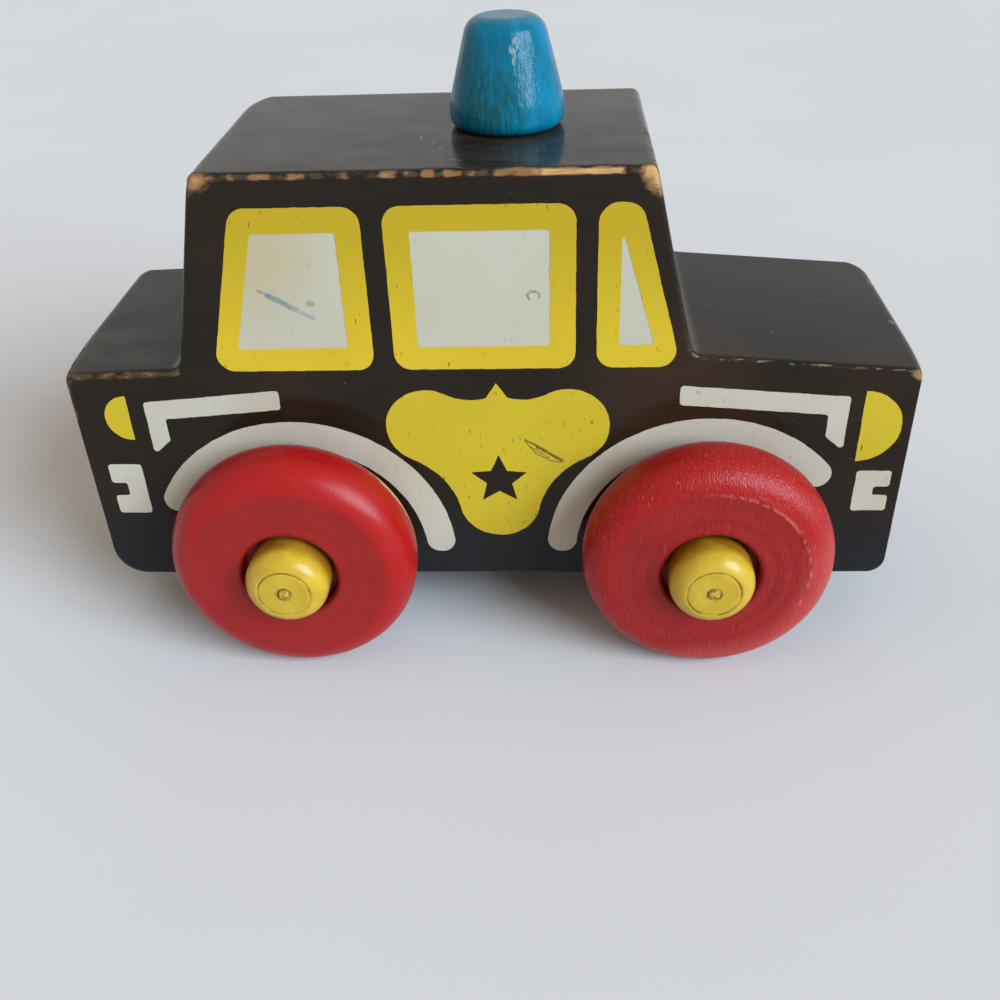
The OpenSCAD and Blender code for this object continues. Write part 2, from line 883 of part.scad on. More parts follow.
// The shield stands midway between the axles, clear of the arches and the trim lines
module shield(side) {
    color(yellow_paint)
        printed(side)
            difference() {
                translate([(rear_axle_x + front_axle_x) / 2, 0])
                    difference() {
                        shield_outline();
                        translate([0, under_z + foot_rise + star_rise])
                            star();
                    }
                for (x = [rear_axle_x, front_axle_x])
                    translate([x, axle_z - arch_drop])
                        circle(arch_r + print_gap);
                trim_drawing(print_gap);
            }
}

body_block();
beacon();
wheel(front_axle_x, "right");  // wheel_front_right
wheel(front_axle_x, "left");  // wheel_front_left
wheel(rear_axle_x, "right");  // wheel_rear_right
wheel(rear_axle_x, "left");  // wheel_rear_left
axle_peg(front_axle_x, "right");  // axle_peg_front_right
axle_peg(front_axle_x, "left");  // axle_peg_front_left
axle_peg(rear_axle_x, "right");  // axle_peg_rear_right
axle_peg(rear_axle_x, "left");  // axle_peg_rear_left
window_frames("right");  // window_frames_right
window_frames("left");  // window_frames_left
window_panes("right");  // window_panes_right
window_panes("left");  // window_panes_left
wheel_arches("right");  // wheel_arches_right
wheel_arches("left");  // wheel_arches_left
trim_lines("right");  // trim_lines_right
trim_lines("left");  // trim_lines_left
lamps("right");  // lamps_right
lamps("left");  // lamps_left
bumper_marks("right");  // bumper_marks_right
bumper_marks("left");  // bumper_marks_left
shield("right");  // shield_right
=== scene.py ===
import json
import math
from collections import Counter

import bmesh
import bpy
import numpy as np
from mathutils import Matrix, Vector, noise

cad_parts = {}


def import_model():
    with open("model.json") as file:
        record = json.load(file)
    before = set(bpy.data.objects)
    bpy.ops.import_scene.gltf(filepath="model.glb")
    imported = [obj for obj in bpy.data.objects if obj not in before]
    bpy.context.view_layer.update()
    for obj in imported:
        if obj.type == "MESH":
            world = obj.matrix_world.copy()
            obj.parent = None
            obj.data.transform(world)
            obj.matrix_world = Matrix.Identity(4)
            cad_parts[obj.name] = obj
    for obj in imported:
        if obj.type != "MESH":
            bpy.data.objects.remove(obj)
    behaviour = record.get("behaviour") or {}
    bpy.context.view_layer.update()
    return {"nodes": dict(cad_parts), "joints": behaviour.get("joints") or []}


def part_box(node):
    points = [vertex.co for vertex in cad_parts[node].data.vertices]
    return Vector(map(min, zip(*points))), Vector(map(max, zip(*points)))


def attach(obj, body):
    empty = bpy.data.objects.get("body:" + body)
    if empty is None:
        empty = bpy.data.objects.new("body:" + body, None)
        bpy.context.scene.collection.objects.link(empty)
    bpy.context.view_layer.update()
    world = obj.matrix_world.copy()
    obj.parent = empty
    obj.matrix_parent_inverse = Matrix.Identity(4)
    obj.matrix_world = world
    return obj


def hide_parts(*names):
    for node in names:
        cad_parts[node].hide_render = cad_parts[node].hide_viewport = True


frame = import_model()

# Lengths below are millimetres in the frame of the solids: +X is the car's front, +Y its left side, +Z is up
MM = 0.001
RIGHT, LEFT = -1, 1
scene = bpy.context.scene


def box_mm(node):
    return [np.array(corner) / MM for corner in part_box(node)]


def srgb(red, green, blue):
    """A colour written as screen values from 0 to 255, as a linear one."""
    linear = [c / 255 / 12.92 if c <= 10 else ((c / 255 + 0.055) / 1.055) ** 2.4 for c in (red, green, blue)]
    return (*linear, 1)


def smooth(low, high, value):
    """0 up to low, 1 from high on, and a smooth step between them."""
    t = np.clip((value - low) / (high - low), 0, 1)
    return t * t * (3 - 2 * t)


def bell(value, centre, width):
    return math.exp(-(((value - centre) / width) ** 2))


def ripple(point, size, seed=0.0):
    """Smooth noise from -1 to 1 with features of about the given size."""
    return noise.noise(Vector(point) / size + Vector((seed, -seed, seed / 2)))


# Materials

class Paint:
    """A node material in the making. Its coordinates are the object's own, in millimetres."""

    def __init__(self, name, **sockets):
        self.material = bpy.data.materials.new(name)
        self.material.use_nodes = True
        self.nodes = self.material.node_tree.nodes
        self.links = self.material.node_tree.links
        self.shader = self.nodes["Principled BSDF"]
        for key, value in sockets.items():
            self.shader.inputs[key.replace("_", " ").title().replace("Ior", "IOR")].default_value = value
        self.place = self.vector("SCALE", self.node("ShaderNodeTexCoord").outputs["Object"], scale=1 / MM)

    def put(self, socket, value):
        if isinstance(value, bpy.types.NodeSocket):
            self.links.new(value, socket)
        elif value is not None:
            socket.default_value = value

    def node(self, kind, settings=None, **inputs):
        made = self.nodes.new(kind)
        for key, value in (settings or {}).items():
            setattr(made, key, value)
        for key, value in inputs.items():
            self.put(made.inputs[key.replace("_", " ").title()], value)
        return made

    def math(self, operation, *values):
        made = self.nodes.new("ShaderNodeMath")
        made.operation = operation
        for socket, value in zip(made.inputs, values):
            self.put(socket, value)
        return made.outputs[0]

    def product(self, first, *others):
        for other in others:
            first = self.math("MULTIPLY", first, other)
        return first

    def add(self, base, value, share):
        """The base with a share of another value added."""
        return self.math("MULTIPLY_ADD", value, share, base)

    def length(self, a, b):
        """Length of the vector with these two coordinates."""
        return self.math("SQRT", self.math("ADD", self.math("POWER", a, 2.0), self.math("POWER", b, 2.0)))

    def vector(self, operation, *values, scale=None, out=0):
        made = self.nodes.new("ShaderNodeVectorMath")
        made.operation = operation
        for socket, value in zip(made.inputs, values):
            self.put(socket, value)
        if scale is not None:
            self.put(made.inputs["Scale"], scale)
        return made.outputs[out]

    def split(self, vector=None):
        return self.node("ShaderNodeSeparateXYZ", Vector=vector or self.place).outputs

    def upward(self):
        """How far the surface faces up, from -1 to 1."""
        return self.split(self.node("ShaderNodeNewGeometry").outputs["Normal"])[2]

    def distance(self, point):
        return self.vector("DISTANCE", self.place, point, out=1)

    def attribute(self, name):
        return self.node("ShaderNodeAttribute", {"attribute_name": name}).outputs["Fac"]

    def noise(self, size, stretch=(1, 1, 1), detail=3.0, seed=0.0, place=None):
        """Noise from 0 to 1 with features of the given size in millimetres, drawn out by stretch."""
        moved = self.vector("ADD", place or self.place, (seed, 1.7 * seed, -seed))
        squeezed = self.vector("MULTIPLY", moved, tuple(1 / (size * s) for s in stretch))
        return self.node("ShaderNodeTexNoise", Vector=squeezed, Scale=1.0, Detail=detail).outputs["Fac"]

    def ramp(self, value, low, high, to=(0.0, 1.0)):
        """A smooth step from the first to the second of two values, as the given value goes from low to high."""
        made = self.nodes.new("ShaderNodeMapRange")
        made.interpolation_type = "SMOOTHSTEP"
        for socket, given in zip(made.inputs, (value, low, high, *to)):
            self.put(socket, given)
        return made.outputs[0]

    def mix(self, share, a, b):
        made = self.nodes.new("ShaderNodeMix")
        made.data_type = "RGBA"
        self.put(made.inputs[0], share)
        self.put(made.inputs[6], a)
        self.put(made.inputs[7], b)
        return made.outputs[2]

    def stroke(self, start, end, width):
        """Mask of a straight stroke between two points."""
        core, edge = 0.35 * width, 0.65 * width
        way = np.subtract(end, start)
        off = self.vector("SUBTRACT", self.place, tuple(start))
        along = self.vector("DOT_PRODUCT", off, tuple(way / np.dot(way, way)), out=1)
        along = self.math("MINIMUM", self.math("MAXIMUM", along, 0.0), 1.0)
        nearest = self.vector("SCALE", tuple(way), scale=along)
        return self.ramp(self.vector("DISTANCE", off, nearest, out=1), core, edge, to=(1.0, 0.0))

    def finish(self, colour, roughness, height=None, strength=0.3, distance=0.1):
        self.put(self.shader.inputs["Base Color"], colour)
        self.put(self.shader.inputs["Roughness"], roughness)
        if height is not None:
            bump = self.node("ShaderNodeBump", Strength=strength, Distance=distance * MM, Height=height)
            self.put(self.shader.inputs["Normal"], bump.outputs[0])
        return self.material


# Colours of the block
BLACK, BLACK_WARM = srgb(32, 26, 18), srgb(52, 35, 25)
# Of the next two colours, the first is a painted reflection of the floor: a cooler black low on the block's sides
BLACK_FLOOR_REFLECTION, BLACK_GRAIN = srgb(30, 31, 33), srgb(16, 13, 10)
BARE_PALE, BARE_BROWN, PRIMER = srgb(190, 152, 98), srgb(130, 92, 58), srgb(80, 61, 42)
# The first colour on the next line is dust with a painted sheen, lighter, for the roof and the deck
DUST_AND_SHEEN, EDGE_DASH, SPECK = srgb(84, 77, 62), srgb(126, 113, 94), srgb(104, 98, 86)
SCRATCH, DENT, NICK = srgb(132, 128, 108), srgb(22, 18, 12), srgb(150, 122, 84)
# Colours of the wheels
RED, RED_PALE, RED_TREAD = srgb(137, 22, 20), srgb(147, 25, 24), srgb(158, 18, 18)
RED_FIBRE, RED_PORE, RED_BARE = srgb(98, 10, 12), srgb(202, 112, 92), srgb(204, 150, 96)
# Both colours on the next line are partly painted light: a paler red for dust with a painted sheen on a rim, and
# a painted highlight on a ridge
RED_SHEEN_AND_DUST, RED_RIDGE_HIGHLIGHT = srgb(190, 80, 76), srgb(196, 92, 80)
# Colours of the pegs
# The third colour on the next line is painted shade, for the head's foot down in the wheel's recess
PEG_YELLOW, PEG_PALE, PEG_RECESS_SHADE = srgb(184, 152, 34), srgb(194, 164, 44), srgb(140, 88, 18)
PEG_GROOVE, PEG_NIB, PEG_SPECK = srgb(98, 74, 24), srgb(122, 92, 30), srgb(112, 80, 26)
# Colours of the beacon
# The third colour on the next line is a painted sheen, greyer, for the beacon's top
BLUE_DEEP, BLUE, BLUE_TOP_SHEEN = srgb(1, 99, 125), srgb(0, 113, 147), srgb(44, 108, 126)
# The first colour on the next line is stain with painted shade, a dark green
BLUE_STAIN_AND_SHADE, BLUE_STREAK, BLUE_SCUFF = srgb(16, 70, 66), srgb(48, 124, 138), srgb(150, 158, 152)
# Colours of the inks and of the marks on them
YELLOW, YELLOW_AGED = srgb(192, 170, 38), srgb(188, 162, 38)
FRAME_YELLOW, FRAME_AGED, FRAME_TOP = srgb(203, 177, 39), srgb(199, 170, 39), srgb(180, 154, 30)
WHITE, WHITE_AGED, WHITE_STAINED = srgb(183, 181, 163), srgb(181, 177, 157), srgb(177, 165, 132)
TRIM_WHITE, TRIM_AGED = srgb(188, 183, 168), srgb(181, 172, 155)
PEN_GREEN, PEN_GREY, PEN_FAINT = srgb(104, 132, 132), srgb(150, 152, 152), srgb(132, 122, 104)
SCUFF, SMEAR, SCRATCHED, FLECK = srgb(134, 130, 118), srgb(150, 140, 122), srgb(92, 80, 28), srgb(34, 30, 26)

# Where the block's paint changes: (start, end) of each change along an axis or away from a place
WARM_PLACE, WARM_REACH = (28, -20.5, 43), (5.0, 18.0)
# Painted reflection of the floor: heights between which the black turns cooler towards the bottom
FLOOR_REFLECTION_Z = (26.0, 14.0)
# Dust and painted sheen on the up-facing tops: places along the car over which it fades out, at the hood's foot
DUST_AND_SHEEN_X = (34.0, 26.0)
# Scratches and a dent on the roof, as (start, end, width, colour)
ROOF_LINES = (
    ((-8.6, -4.5), (-8.4, -6.9), 0.3, SCRATCH), ((-6.9, -7.4), (-6.5, -8.8), 0.25, SCRATCH),
    ((-5.1, -9.9), (-5.4, -11.6), 0.3, SCRATCH), ((-5.4, -11.6), (-7.0, -12.6), 0.3, SCRATCH),
    ((-4.9, -15.6), (-4.9, -16.8), 0.3, SCRATCH), ((-3.4, -16.1), (-2.2, -16.6), 0.45, SCRATCH),
    ((-26.8, -9.2), (-25.8, -12.0), 1.1, DENT),
)
# Spots on the hood, as (place, width, colour)
HOOD_SPOTS = (
    ((53.3, 2.4), 0.5, SCRATCH), ((47.2, -4.0), 0.45, SCRATCH), ((34.6, -2.6), 0.4, SCRATCH),
    ((43.1, -10.8), 0.4, SCRATCH), ((63.3, 11.2), 1.4, NICK), ((62.8, -4.3), 1.3, NICK),
)
SPOT_LENGTH = 0.1


def top_marks():
    """Marks on the top of the block, as (start, end, width, colour)."""
    marks = [((*a, ROOF_Z), (*b, ROOF_Z), width, tint) for a, b, width, tint in ROOF_LINES]
    for (x, y), width, tint in HOOD_SPOTS:
        z = HOOD_Z + (HOOD_FRONT_Z - HOOD_Z) * (x - HOOD_FOOT_X) / (FRONT_X - HOOD_FOOT_X)
        marks.append(((x, y, z), (x + SPOT_LENGTH, y, z), width, tint))
    return marks


def black_paint():
    """Black paint over wood, thin and brown along the worn edges, and gone where they are worn deep."""
    p = Paint("black_paint", specular_ior_level=0.17)
    x, _, z = p.split()
    grain = p.noise(0.3, (40, 4, 1), detail=4)
    brush = p.noise(0.8, (9, 1, 1), seed=31)

    # Whole paint: warm places, a cooler painted reflection of the floor low down, dark grain, dust with a painted
    # sheen on the roof and the deck, scratches
    blotch = p.noise(22, (1.6, 1, 1), seed=4)
    colour = p.mix(p.ramp(blotch, 0.45, 0.75, to=(0.0, 0.5)), BLACK, BLACK_WARM)
    colour = p.mix(p.ramp(p.distance(WARM_PLACE), *WARM_REACH, to=(0.9, 0.0)), colour, BLACK_WARM)
    # Painted reflection of the floor: a cooler black low down
    colour = p.mix(p.ramp(z, *FLOOR_REFLECTION_Z), colour, BLACK_FLOOR_REFLECTION)
    colour = p.mix(p.product(p.ramp(grain, 0.45, 0.75), 0.35), colour, BLACK_GRAIN)
    # Dust and painted sheen: lighter mottling and fine lines on the up-facing roof and deck, standing in for
    # their grey sheen as well as dust
    dust_and_sheen = p.product(p.ramp(p.upward(), 0.8, 0.95), p.ramp(x, *DUST_AND_SHEEN_X))
    mottle = p.ramp(p.noise(6, (1.8, 1, 1), detail=5, seed=52), 0.38, 0.68, to=(0.0, 0.35))
    lines = p.ramp(p.noise(0.3, (30, 1.5, 1), seed=57), 0.55, 0.72, to=(0.0, 0.3))
    colour = p.mix(p.product(p.math("MAXIMUM", mottle, lines), dust_and_sheen), colour, DUST_AND_SHEEN)
    broken = p.ramp(p.noise(0.5, detail=2, seed=14), 0.35, 0.6, to=(0.02, 0.45))
    for start, end, width, tint in top_marks():
        colour = p.mix(p.product(p.stroke(start, end, width), broken), colour, tint)

    # Worn paint: first thin, then bare wood, with light dashes along the rims
    wear = p.attribute("wear")
    ragged = p.add(-0.6, p.noise(0.8, (2.0, 1, 1), seed=3), 1.2)
    worn = p.add(wear, ragged, p.ramp(wear, 0.05, 0.4))
    thin = p.ramp(worn, 0.15, 0.4)
    bare = p.ramp(worn, 0.44, 0.64)
    deep = p.add(wear, p.noise(1.6, (3, 1, 1), seed=8), 0.5)
    wood = p.mix(p.ramp(deep, 0.95, 1.3), BARE_BROWN, BARE_PALE)
    fibres = p.ramp(p.noise(0.25, (14, 2, 1), seed=9), 0.5, 0.75)
    wood = p.mix(p.product(fibres, 0.5), wood, PRIMER)
    colour = p.mix(p.product(thin, 0.75), colour, PRIMER)
    colour = p.mix(bare, colour, wood)
    dashes = p.ramp(p.noise(0.3, (5, 1, 1), seed=12), 0.53, 0.65)
    colour = p.mix(p.product(dashes, p.attribute("rim")), colour, EDGE_DASH)
    specks = p.ramp(p.noise(0.6, detail=1, seed=44), 0.8, 0.82)
    colour = p.mix(p.product(specks, 0.5), colour, SPECK)

    roughness = p.ramp(p.noise(5, seed=20), 0.3, 0.7, to=(0.1, 0.19))
    roughness = p.math("MAXIMUM", roughness, p.product(thin, 0.62))
    height = p.add(p.product(grain, 0.5), bare, -1.6)
    height = p.add(height, brush, 0.4)
    return p.finish(colour, roughness, height, strength=0.12, distance=0.05)


# Where a wheel's paint changes, from its middle
RIM_R, TREAD_R = (14.5, 17.5), (14.2, 15.8)
# Dust and painted sheen on a rim: the radii over which it comes in, and the slope of x less z over which it grows
# towards the lower front
SHEEN_AND_DUST_R, SHEEN_AND_DUST_SLOPE = (12.0, 15.5), (6.0, 15.0)
# Painted highlight on the ridge: where along x and z it shows, on its upper front part, and how far from the
# ridge it reaches
RIDGE_LIT_X, RIDGE_LIT_Z, RIDGE_HIGHLIGHT_OFF = (-3.0, 3.0), (-9.0, -4.0), (0.4, 0.1)
BARE_Y, BARE_X = (27.2, 25.4), (9.0, 15.0)


def red_paint(name, seed, streaks, worn, ridge):
    """Red paint on a turned wheel, its fibres upright: streaks is their strength, worn that of the bare rim.

    A ridge on its shoulder has a painted highlight broken into pale flecks on its upper front part, and the rim
    below it is paler on its lower front side, with dust and a painted sheen."""
    p = Paint(name, specular_ior_level=0.28)
    x, y, z = p.split()
    radius = p.length(x, z)
    rim = p.ramp(radius, *RIM_R)
    fibres = p.noise(0.26, (1, 1.6, 9), seed=seed)
    pores = p.noise(0.26, (1, 1.3, 10), detail=2, seed=seed + 17)
    tone = p.noise(9, detail=2, seed=seed + 5)
    colour = p.mix(p.ramp(tone, 0.3, 0.7), RED, RED_PALE)
    colour = p.mix(p.ramp(radius, *TREAD_R), colour, RED_TREAD)
    dark = p.add(0.26 * streaks, rim, 0.2 * streaks)
    colour = p.mix(p.product(p.ramp(fibres, 0.54, 0.72), dark), colour, RED_FIBRE)
    pale = p.add(0.14 * streaks, rim, 0.45 * streaks)
    colour = p.mix(p.product(p.ramp(pores, 0.63, 0.72), pale), colour, RED_PORE)
    if ridge:
        # Dust and painted sheen: a paler red on the rim's lower front side, which faces the light and the floor
        front = p.ramp(p.math("SUBTRACT", x, z), *SHEEN_AND_DUST_SLOPE, to=(0.0, 0.36))
        colour = p.mix(p.product(p.ramp(radius, *SHEEN_AND_DUST_R), front), colour, RED_SHEEN_AND_DUST)
        # Painted highlight where the ridge catches the light, broken into pale flecks
        off = p.math("ABSOLUTE", p.math("SUBTRACT", radius, RIDGE_R))
        flecks = p.ramp(p.noise(0.7, (1, 1, 2), seed=seed + 29), 0.4, 0.6)
        part = p.product(p.ramp(x, *RIDGE_LIT_X), p.ramp(z, *RIDGE_LIT_Z))
        near = p.ramp(off, *RIDGE_HIGHLIGHT_OFF, to=(0.0, 0.75))
        colour = p.mix(p.product(flecks, part, near), colour, RED_RIDGE_HIGHLIGHT)
    if worn:
        back = p.product(p.ramp(p.math("ABSOLUTE", y), *BARE_Y), p.ramp(x, *BARE_X))
        patches = p.product(back, p.noise(1.4, (1, 1, 2.5), seed=seed + 3))
        bare = p.ramp(patches, 0.55 - 0.25 * worn, 0.65 - 0.2 * worn)
        colour = p.mix(p.product(bare, rim), colour, RED_BARE)
    rings = p.noise(0.5, detail=2, place=p.node("ShaderNodeCombineXYZ", X=radius, Y=y).outputs[0])
    height = p.add(p.product(rings, 0.15), fibres, 0.9 * streaks)
    height = p.add(height, pores, -0.7 * streaks)
    roughness = p.ramp(tone, 0.3, 0.7, to=(0.3, 0.38))
    return p.finish(colour, roughness, height, strength=0.25 + 0.22 * streaks, distance=0.3)


# Where a peg's paint changes, along the peg and from its middle
# The first of these: the places along the peg over which painted shade comes in, towards the wheel's recess
RECESS_SHADE_Y, NIB_STAIN_R = (35.6, 33.0), (1.6, 0.9)


def yellow_paint(name, seed):
    """Yellow paint on a peg: dark in the grooves round its face and nib, and with painted shade, browner, towards
    its foot, down in the wheel's recess.
    """
    p = Paint(name, coat_weight=0.25, coat_roughness=0.12, specular_ior_level=0.3)
    x, y, z = p.split()
    tone = p.noise(2.6, seed=seed)
    colour = p.mix(p.ramp(tone, 0.35, 0.7), PEG_YELLOW, PEG_PALE)
    stain = p.ramp(p.noise(3.4, seed=seed + 2), 0.3, 0.7, to=(0.55, 1.0))
    # Painted shade: browner where the head goes down into the wheel's recess
    colour = p.mix(p.product(p.ramp(p.math("ABSOLUTE", y), *RECESS_SHADE_Y), stain), colour, PEG_RECESS_SHADE)
    broken = p.ramp(p.noise(2.2, seed=seed + 9), 0.38, 0.6, to=(0.0, 0.95))
    colour = p.mix(p.product(p.attribute("groove"), broken), colour, PEG_GROOVE)
    nib = p.product(p.ramp(p.length(x, z), *NIB_STAIN_R), p.ramp(p.noise(0.6, seed=seed + 7), 0.42, 0.58))
    colour = p.mix(p.product(nib, 0.8), colour, PEG_NIB)
    specks = p.ramp(p.noise(0.4, (1, 1, 1.8), detail=1, seed=seed + 4), 0.76, 0.8)
    colour = p.mix(p.product(specks, 0.5), colour, PEG_SPECK)
    height = p.add(tone, p.noise(0.35, (1, 5, 1), seed=seed + 6), 0.4)
    roughness = p.ramp(tone, 0.3, 0.7, to=(0.3, 0.42))
    return p.finish(colour, roughness, height, strength=0.12, distance=0.08)


# Where the beacon's paint changes, from the middle of its foot
# The last of these: heights over which the stain and its painted shade grow towards the foot
STREAKED_FRONT_X, STREAKED_REAR_X, STAIN_AND_SHADE_Z = (4.2, 1.2), (-7.5, -4.5), (15.0, 3.0)
# Strokes of the scuff under the beacon's top, as (start, end, width)
BEACON_SCUFF = (((1.6, -5.8, 12.4), (1.2, -6.05, 11.4), 1.3), ((1.3, -6.3, 10.6), (1.35, -6.5, 9.7), 0.7))


def blue_paint():
    """Blue paint, greener and streaked towards the foot of its middle, which is stain and painted shade, with a
    scuff under the top, and a painted sheen on its top.
    """
    p = Paint("blue_paint", specular_ior_level=0.18)
    x, _, z = p.split()
    streaks = p.noise(0.5, (1, 1, 7), detail=4, seed=2)
    patches = p.noise(3.4, (1, 1, 2.2), seed=6)
    colour = p.mix(p.ramp(patches, 0.38, 0.62), BLUE_DEEP, BLUE)
    middle = p.product(p.ramp(x, *STREAKED_FRONT_X), p.ramp(x, *STREAKED_REAR_X))
    # Stain and painted shade: a darker green on the streaks of the middle, towards the foot, on the side away
    # from the light
    stain = p.product(p.ramp(z, *STAIN_AND_SHADE_Z), p.ramp(streaks, 0.3, 0.58), middle, 0.8)
    colour = p.mix(stain, colour, BLUE_STAIN_AND_SHADE)
    colour = p.mix(p.product(p.ramp(streaks, 0.6, 0.72), middle, 0.45), colour, BLUE_STREAK)
    # Painted sheen: the up-facing top is greyer, as if mirroring the pale backdrop
    colour = p.mix(p.product(p.ramp(p.upward(), 0.75, 0.95), 0.6), colour, BLUE_TOP_SHEEN)
    scuff = p.math("MAXIMUM", *(p.stroke(*line) for line in BEACON_SCUFF))
    scuff = p.product(scuff, p.noise(0.4, (1, 1, 2), seed=5))
    colour = p.mix(p.ramp(scuff, 0.35, 0.65, to=(0.0, 0.7)), colour, BLUE_SCUFF)
    height = p.add(p.product(patches, 0.8), streaks, 1.0)
    roughness = p.ramp(streaks, 0.35, 0.7, to=(0.1, 0.2))
    return p.finish(colour, roughness, height, strength=0.5, distance=0.2)


# Heights between which an ink takes on its colour at the roof
INK_TOP_Z = (48.0, 70.0)


def ink(name, main, aged, seed, flecked, marks=(), stain=None, top=None):
    """Printed ink with dark upright flecks where it missed the pores, flecked being their strength.

    Marks are (points, width, colour) lines, a stain is (place, reach, colour), and top the colour at the roof."""
    p = Paint(name, specular_ior_level=0.2)
    patches = p.noise(14, detail=2, seed=seed)
    colour = p.mix(p.ramp(patches, 0.3, 0.75), main, aged)
    if top:
        colour = p.mix(p.ramp(p.split()[2], *INK_TOP_Z), colour, top)
    if stain:
        (x, z), reach, tint = stain
        off = p.distance((x, -FACE_Y, z))
        colour = p.mix(p.ramp(off, 0.2 * reach, reach, to=(0.85, 0.0)), colour, tint)
    flecks = p.ramp(p.noise(0.3, (1, 1, 5.5), detail=1, seed=seed + 8), 0.69, 0.75)
    amount = p.ramp(p.noise(6, seed=seed + 12), 0.35, 0.6, to=(0.15 * flecked, flecked))
    colour = p.mix(p.product(flecks, amount), colour, FLECK)
    for points, width, tint in marks:
        spots = [(x, -FACE_Y, z) for x, z in points]
        line = p.stroke(spots[0], spots[1], width)
        for start, end in zip(spots[1:], spots[2:]):
            line = p.math("MAXIMUM", line, p.stroke(start, end, width))
        broken = p.ramp(p.noise(0.5, detail=2, seed=seed + 2), 0.3, 0.55, to=(0.45, 0.9))
        colour = p.mix(p.product(line, broken), colour, tint)
    fine = p.noise(0.5, (1, 1, 3), seed=seed + 3)
    roughness = p.ramp(patches, 0.3, 0.7, to=(0.42, 0.55))
    return p.finish(colour, roughness, fine, strength=0.08, distance=0.05)


# Drawing tools

def unit(v):
    return v / np.linalg.norm(v)


def corner_arc(before, at, after, radius, steps):
    """Points of the arc that rounds a corner, from one tangent point to the other."""
    if radius == 0:
        return [at]
    u, w = unit(before - at), unit(after - at)
    half = math.acos(np.dot(u, w)) / 2
    centre = at + unit(u + w) * radius / math.sin(half)
    first = at + u * radius / math.tan(half) - centre
    last = at + w * radius / math.tan(half) - centre
    start = math.atan2(first[1], first[0])
    sweep = (math.atan2(last[1], last[0]) - start + math.pi) % math.tau - math.pi
    angles = [start + sweep * i / steps for i in range(steps + 1)]
    return [centre + radius * np.array([math.cos(a), math.sin(a)]) for a in angles]


def lerp_points(a, b, count):
    """The points between two ends that divide their line into count parts."""
    return [a + (b - a) * i / count for i in range(1, count)]


def divisions(a, b, step):
    """How many parts of about the given step lie between two points."""
    return max(1, round(np.linalg.norm(b - a) / step))


def profile(points, radii, step, steps=8):
    """An open line with rounded corners, its straight parts divided at about the given step."""
    points = [np.array(p, float) for p in points]
    arcs = [[points[0]]]
    for i in range(1, len(points) - 1):
        arcs.append(corner_arc(points[i - 1], points[i], points[i + 1], radii.get(i, 0), steps))
    arcs.append([points[-1]])
    line = list(arcs[0])
    for arc in arcs[1:]:
        line += lerp_points(line[-1], arc[0], divisions(line[-1], arc[0], step))
        line += arc
    return line


def piece(name, mesh_data, material, body, nodes, location=(0, 0, 0)):
    """An object of a bmesh in millimetres about its location, which rides on its body and replaces its nodes."""
    mesh = bpy.data.meshes.new(name)
    bmesh.ops.recalc_face_normals(mesh_data, faces=mesh_data.faces)
    mesh_data.to_mesh(mesh)
    mesh_data.free()
    mesh.transform(Matrix.Scale(MM, 4))
    mesh.shade_smooth()
    mesh.materials.append(material)
    made = bpy.data.objects.new(name, mesh)
    made.location = Vector(location) * MM
    scene.collection.objects.link(made)
    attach(made, body)
    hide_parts(*nodes)
    return made


# The block

BLOCK_LOW, BLOCK_HIGH = box_mm("body_block")
REAR_X, FRONT_X = BLOCK_LOW[0], BLOCK_HIGH[0]
FACE_Y = BLOCK_HIGH[1]
UNDER_Z, ROOF_Z = BLOCK_LOW[2], BLOCK_HIGH[2]
HOOD_Z, HOOD_FRONT_Z = UNDER_Z + 39.7, UNDER_Z + 36.9
DECK_Z, DECK_REAR_Z = UNDER_Z + 38.2, UNDER_Z + 37.6
ROOF_REAR_X = REAR_X + 25.6
ROOF_FRONT_X = ROOF_REAR_X + 62.5
LEAN = math.tan(math.radians(12.8))
HOOD_FOOT_X = ROOF_FRONT_X + (ROOF_Z - HOOD_Z) * LEAN
DECK_FOOT_X = ROOF_REAR_X - (ROOF_Z - DECK_Z) * LEAN
HOOD_WEAR_DROP = 3
# Corners of the block's outline from the rear foot on, their radii, and the numbers of some of them
CORNERS = [np.array(c) for c in (
    (REAR_X, UNDER_Z), (FRONT_X, UNDER_Z), (FRONT_X, HOOD_FRONT_Z - HOOD_WEAR_DROP), (FRONT_X, HOOD_FRONT_Z),
    (HOOD_FOOT_X, HOOD_Z), (ROOF_FRONT_X, ROOF_Z), (ROOF_REAR_X, ROOF_Z), (DECK_FOOT_X, DECK_Z),
    (REAR_X, DECK_REAR_Z),
)]
ROUNDS = [4.9, 2.7, 0, 1.5, 2.2, 1.4, 1.4, 2.2, 1.5]
LEAST_ROUND = 0.4
HOLLOW = (4, 7)
HOOD_FRONT = 3
# How each wall is drawn in towards a face, as (amount, reach), one for the wall after each corner
EDGE_ROUND = 0.8
EASE = (EDGE_ROUND, EDGE_ROUND)
FRONT_WEAR, REAR_WEAR = (1, 12), (1.6, 16)
LEFT_BACK_WEAR, LEFT_REAR_WEAR = (3.5, 8), (2, 3)
RIGHT_DRAWS = [EASE, FRONT_WEAR, FRONT_WEAR] + [EASE] * 5 + [REAR_WEAR]
LEFT_DRAWS = [EASE] * 6 + [LEFT_BACK_WEAR, EASE, LEFT_REAR_WEAR]
# How far the hood's front corner is worn back on each side, in the same way
RIGHT_HOOD_DRAW, LEFT_HOOD_DRAW = (0, EDGE_ROUND), (5.2, 4.9)
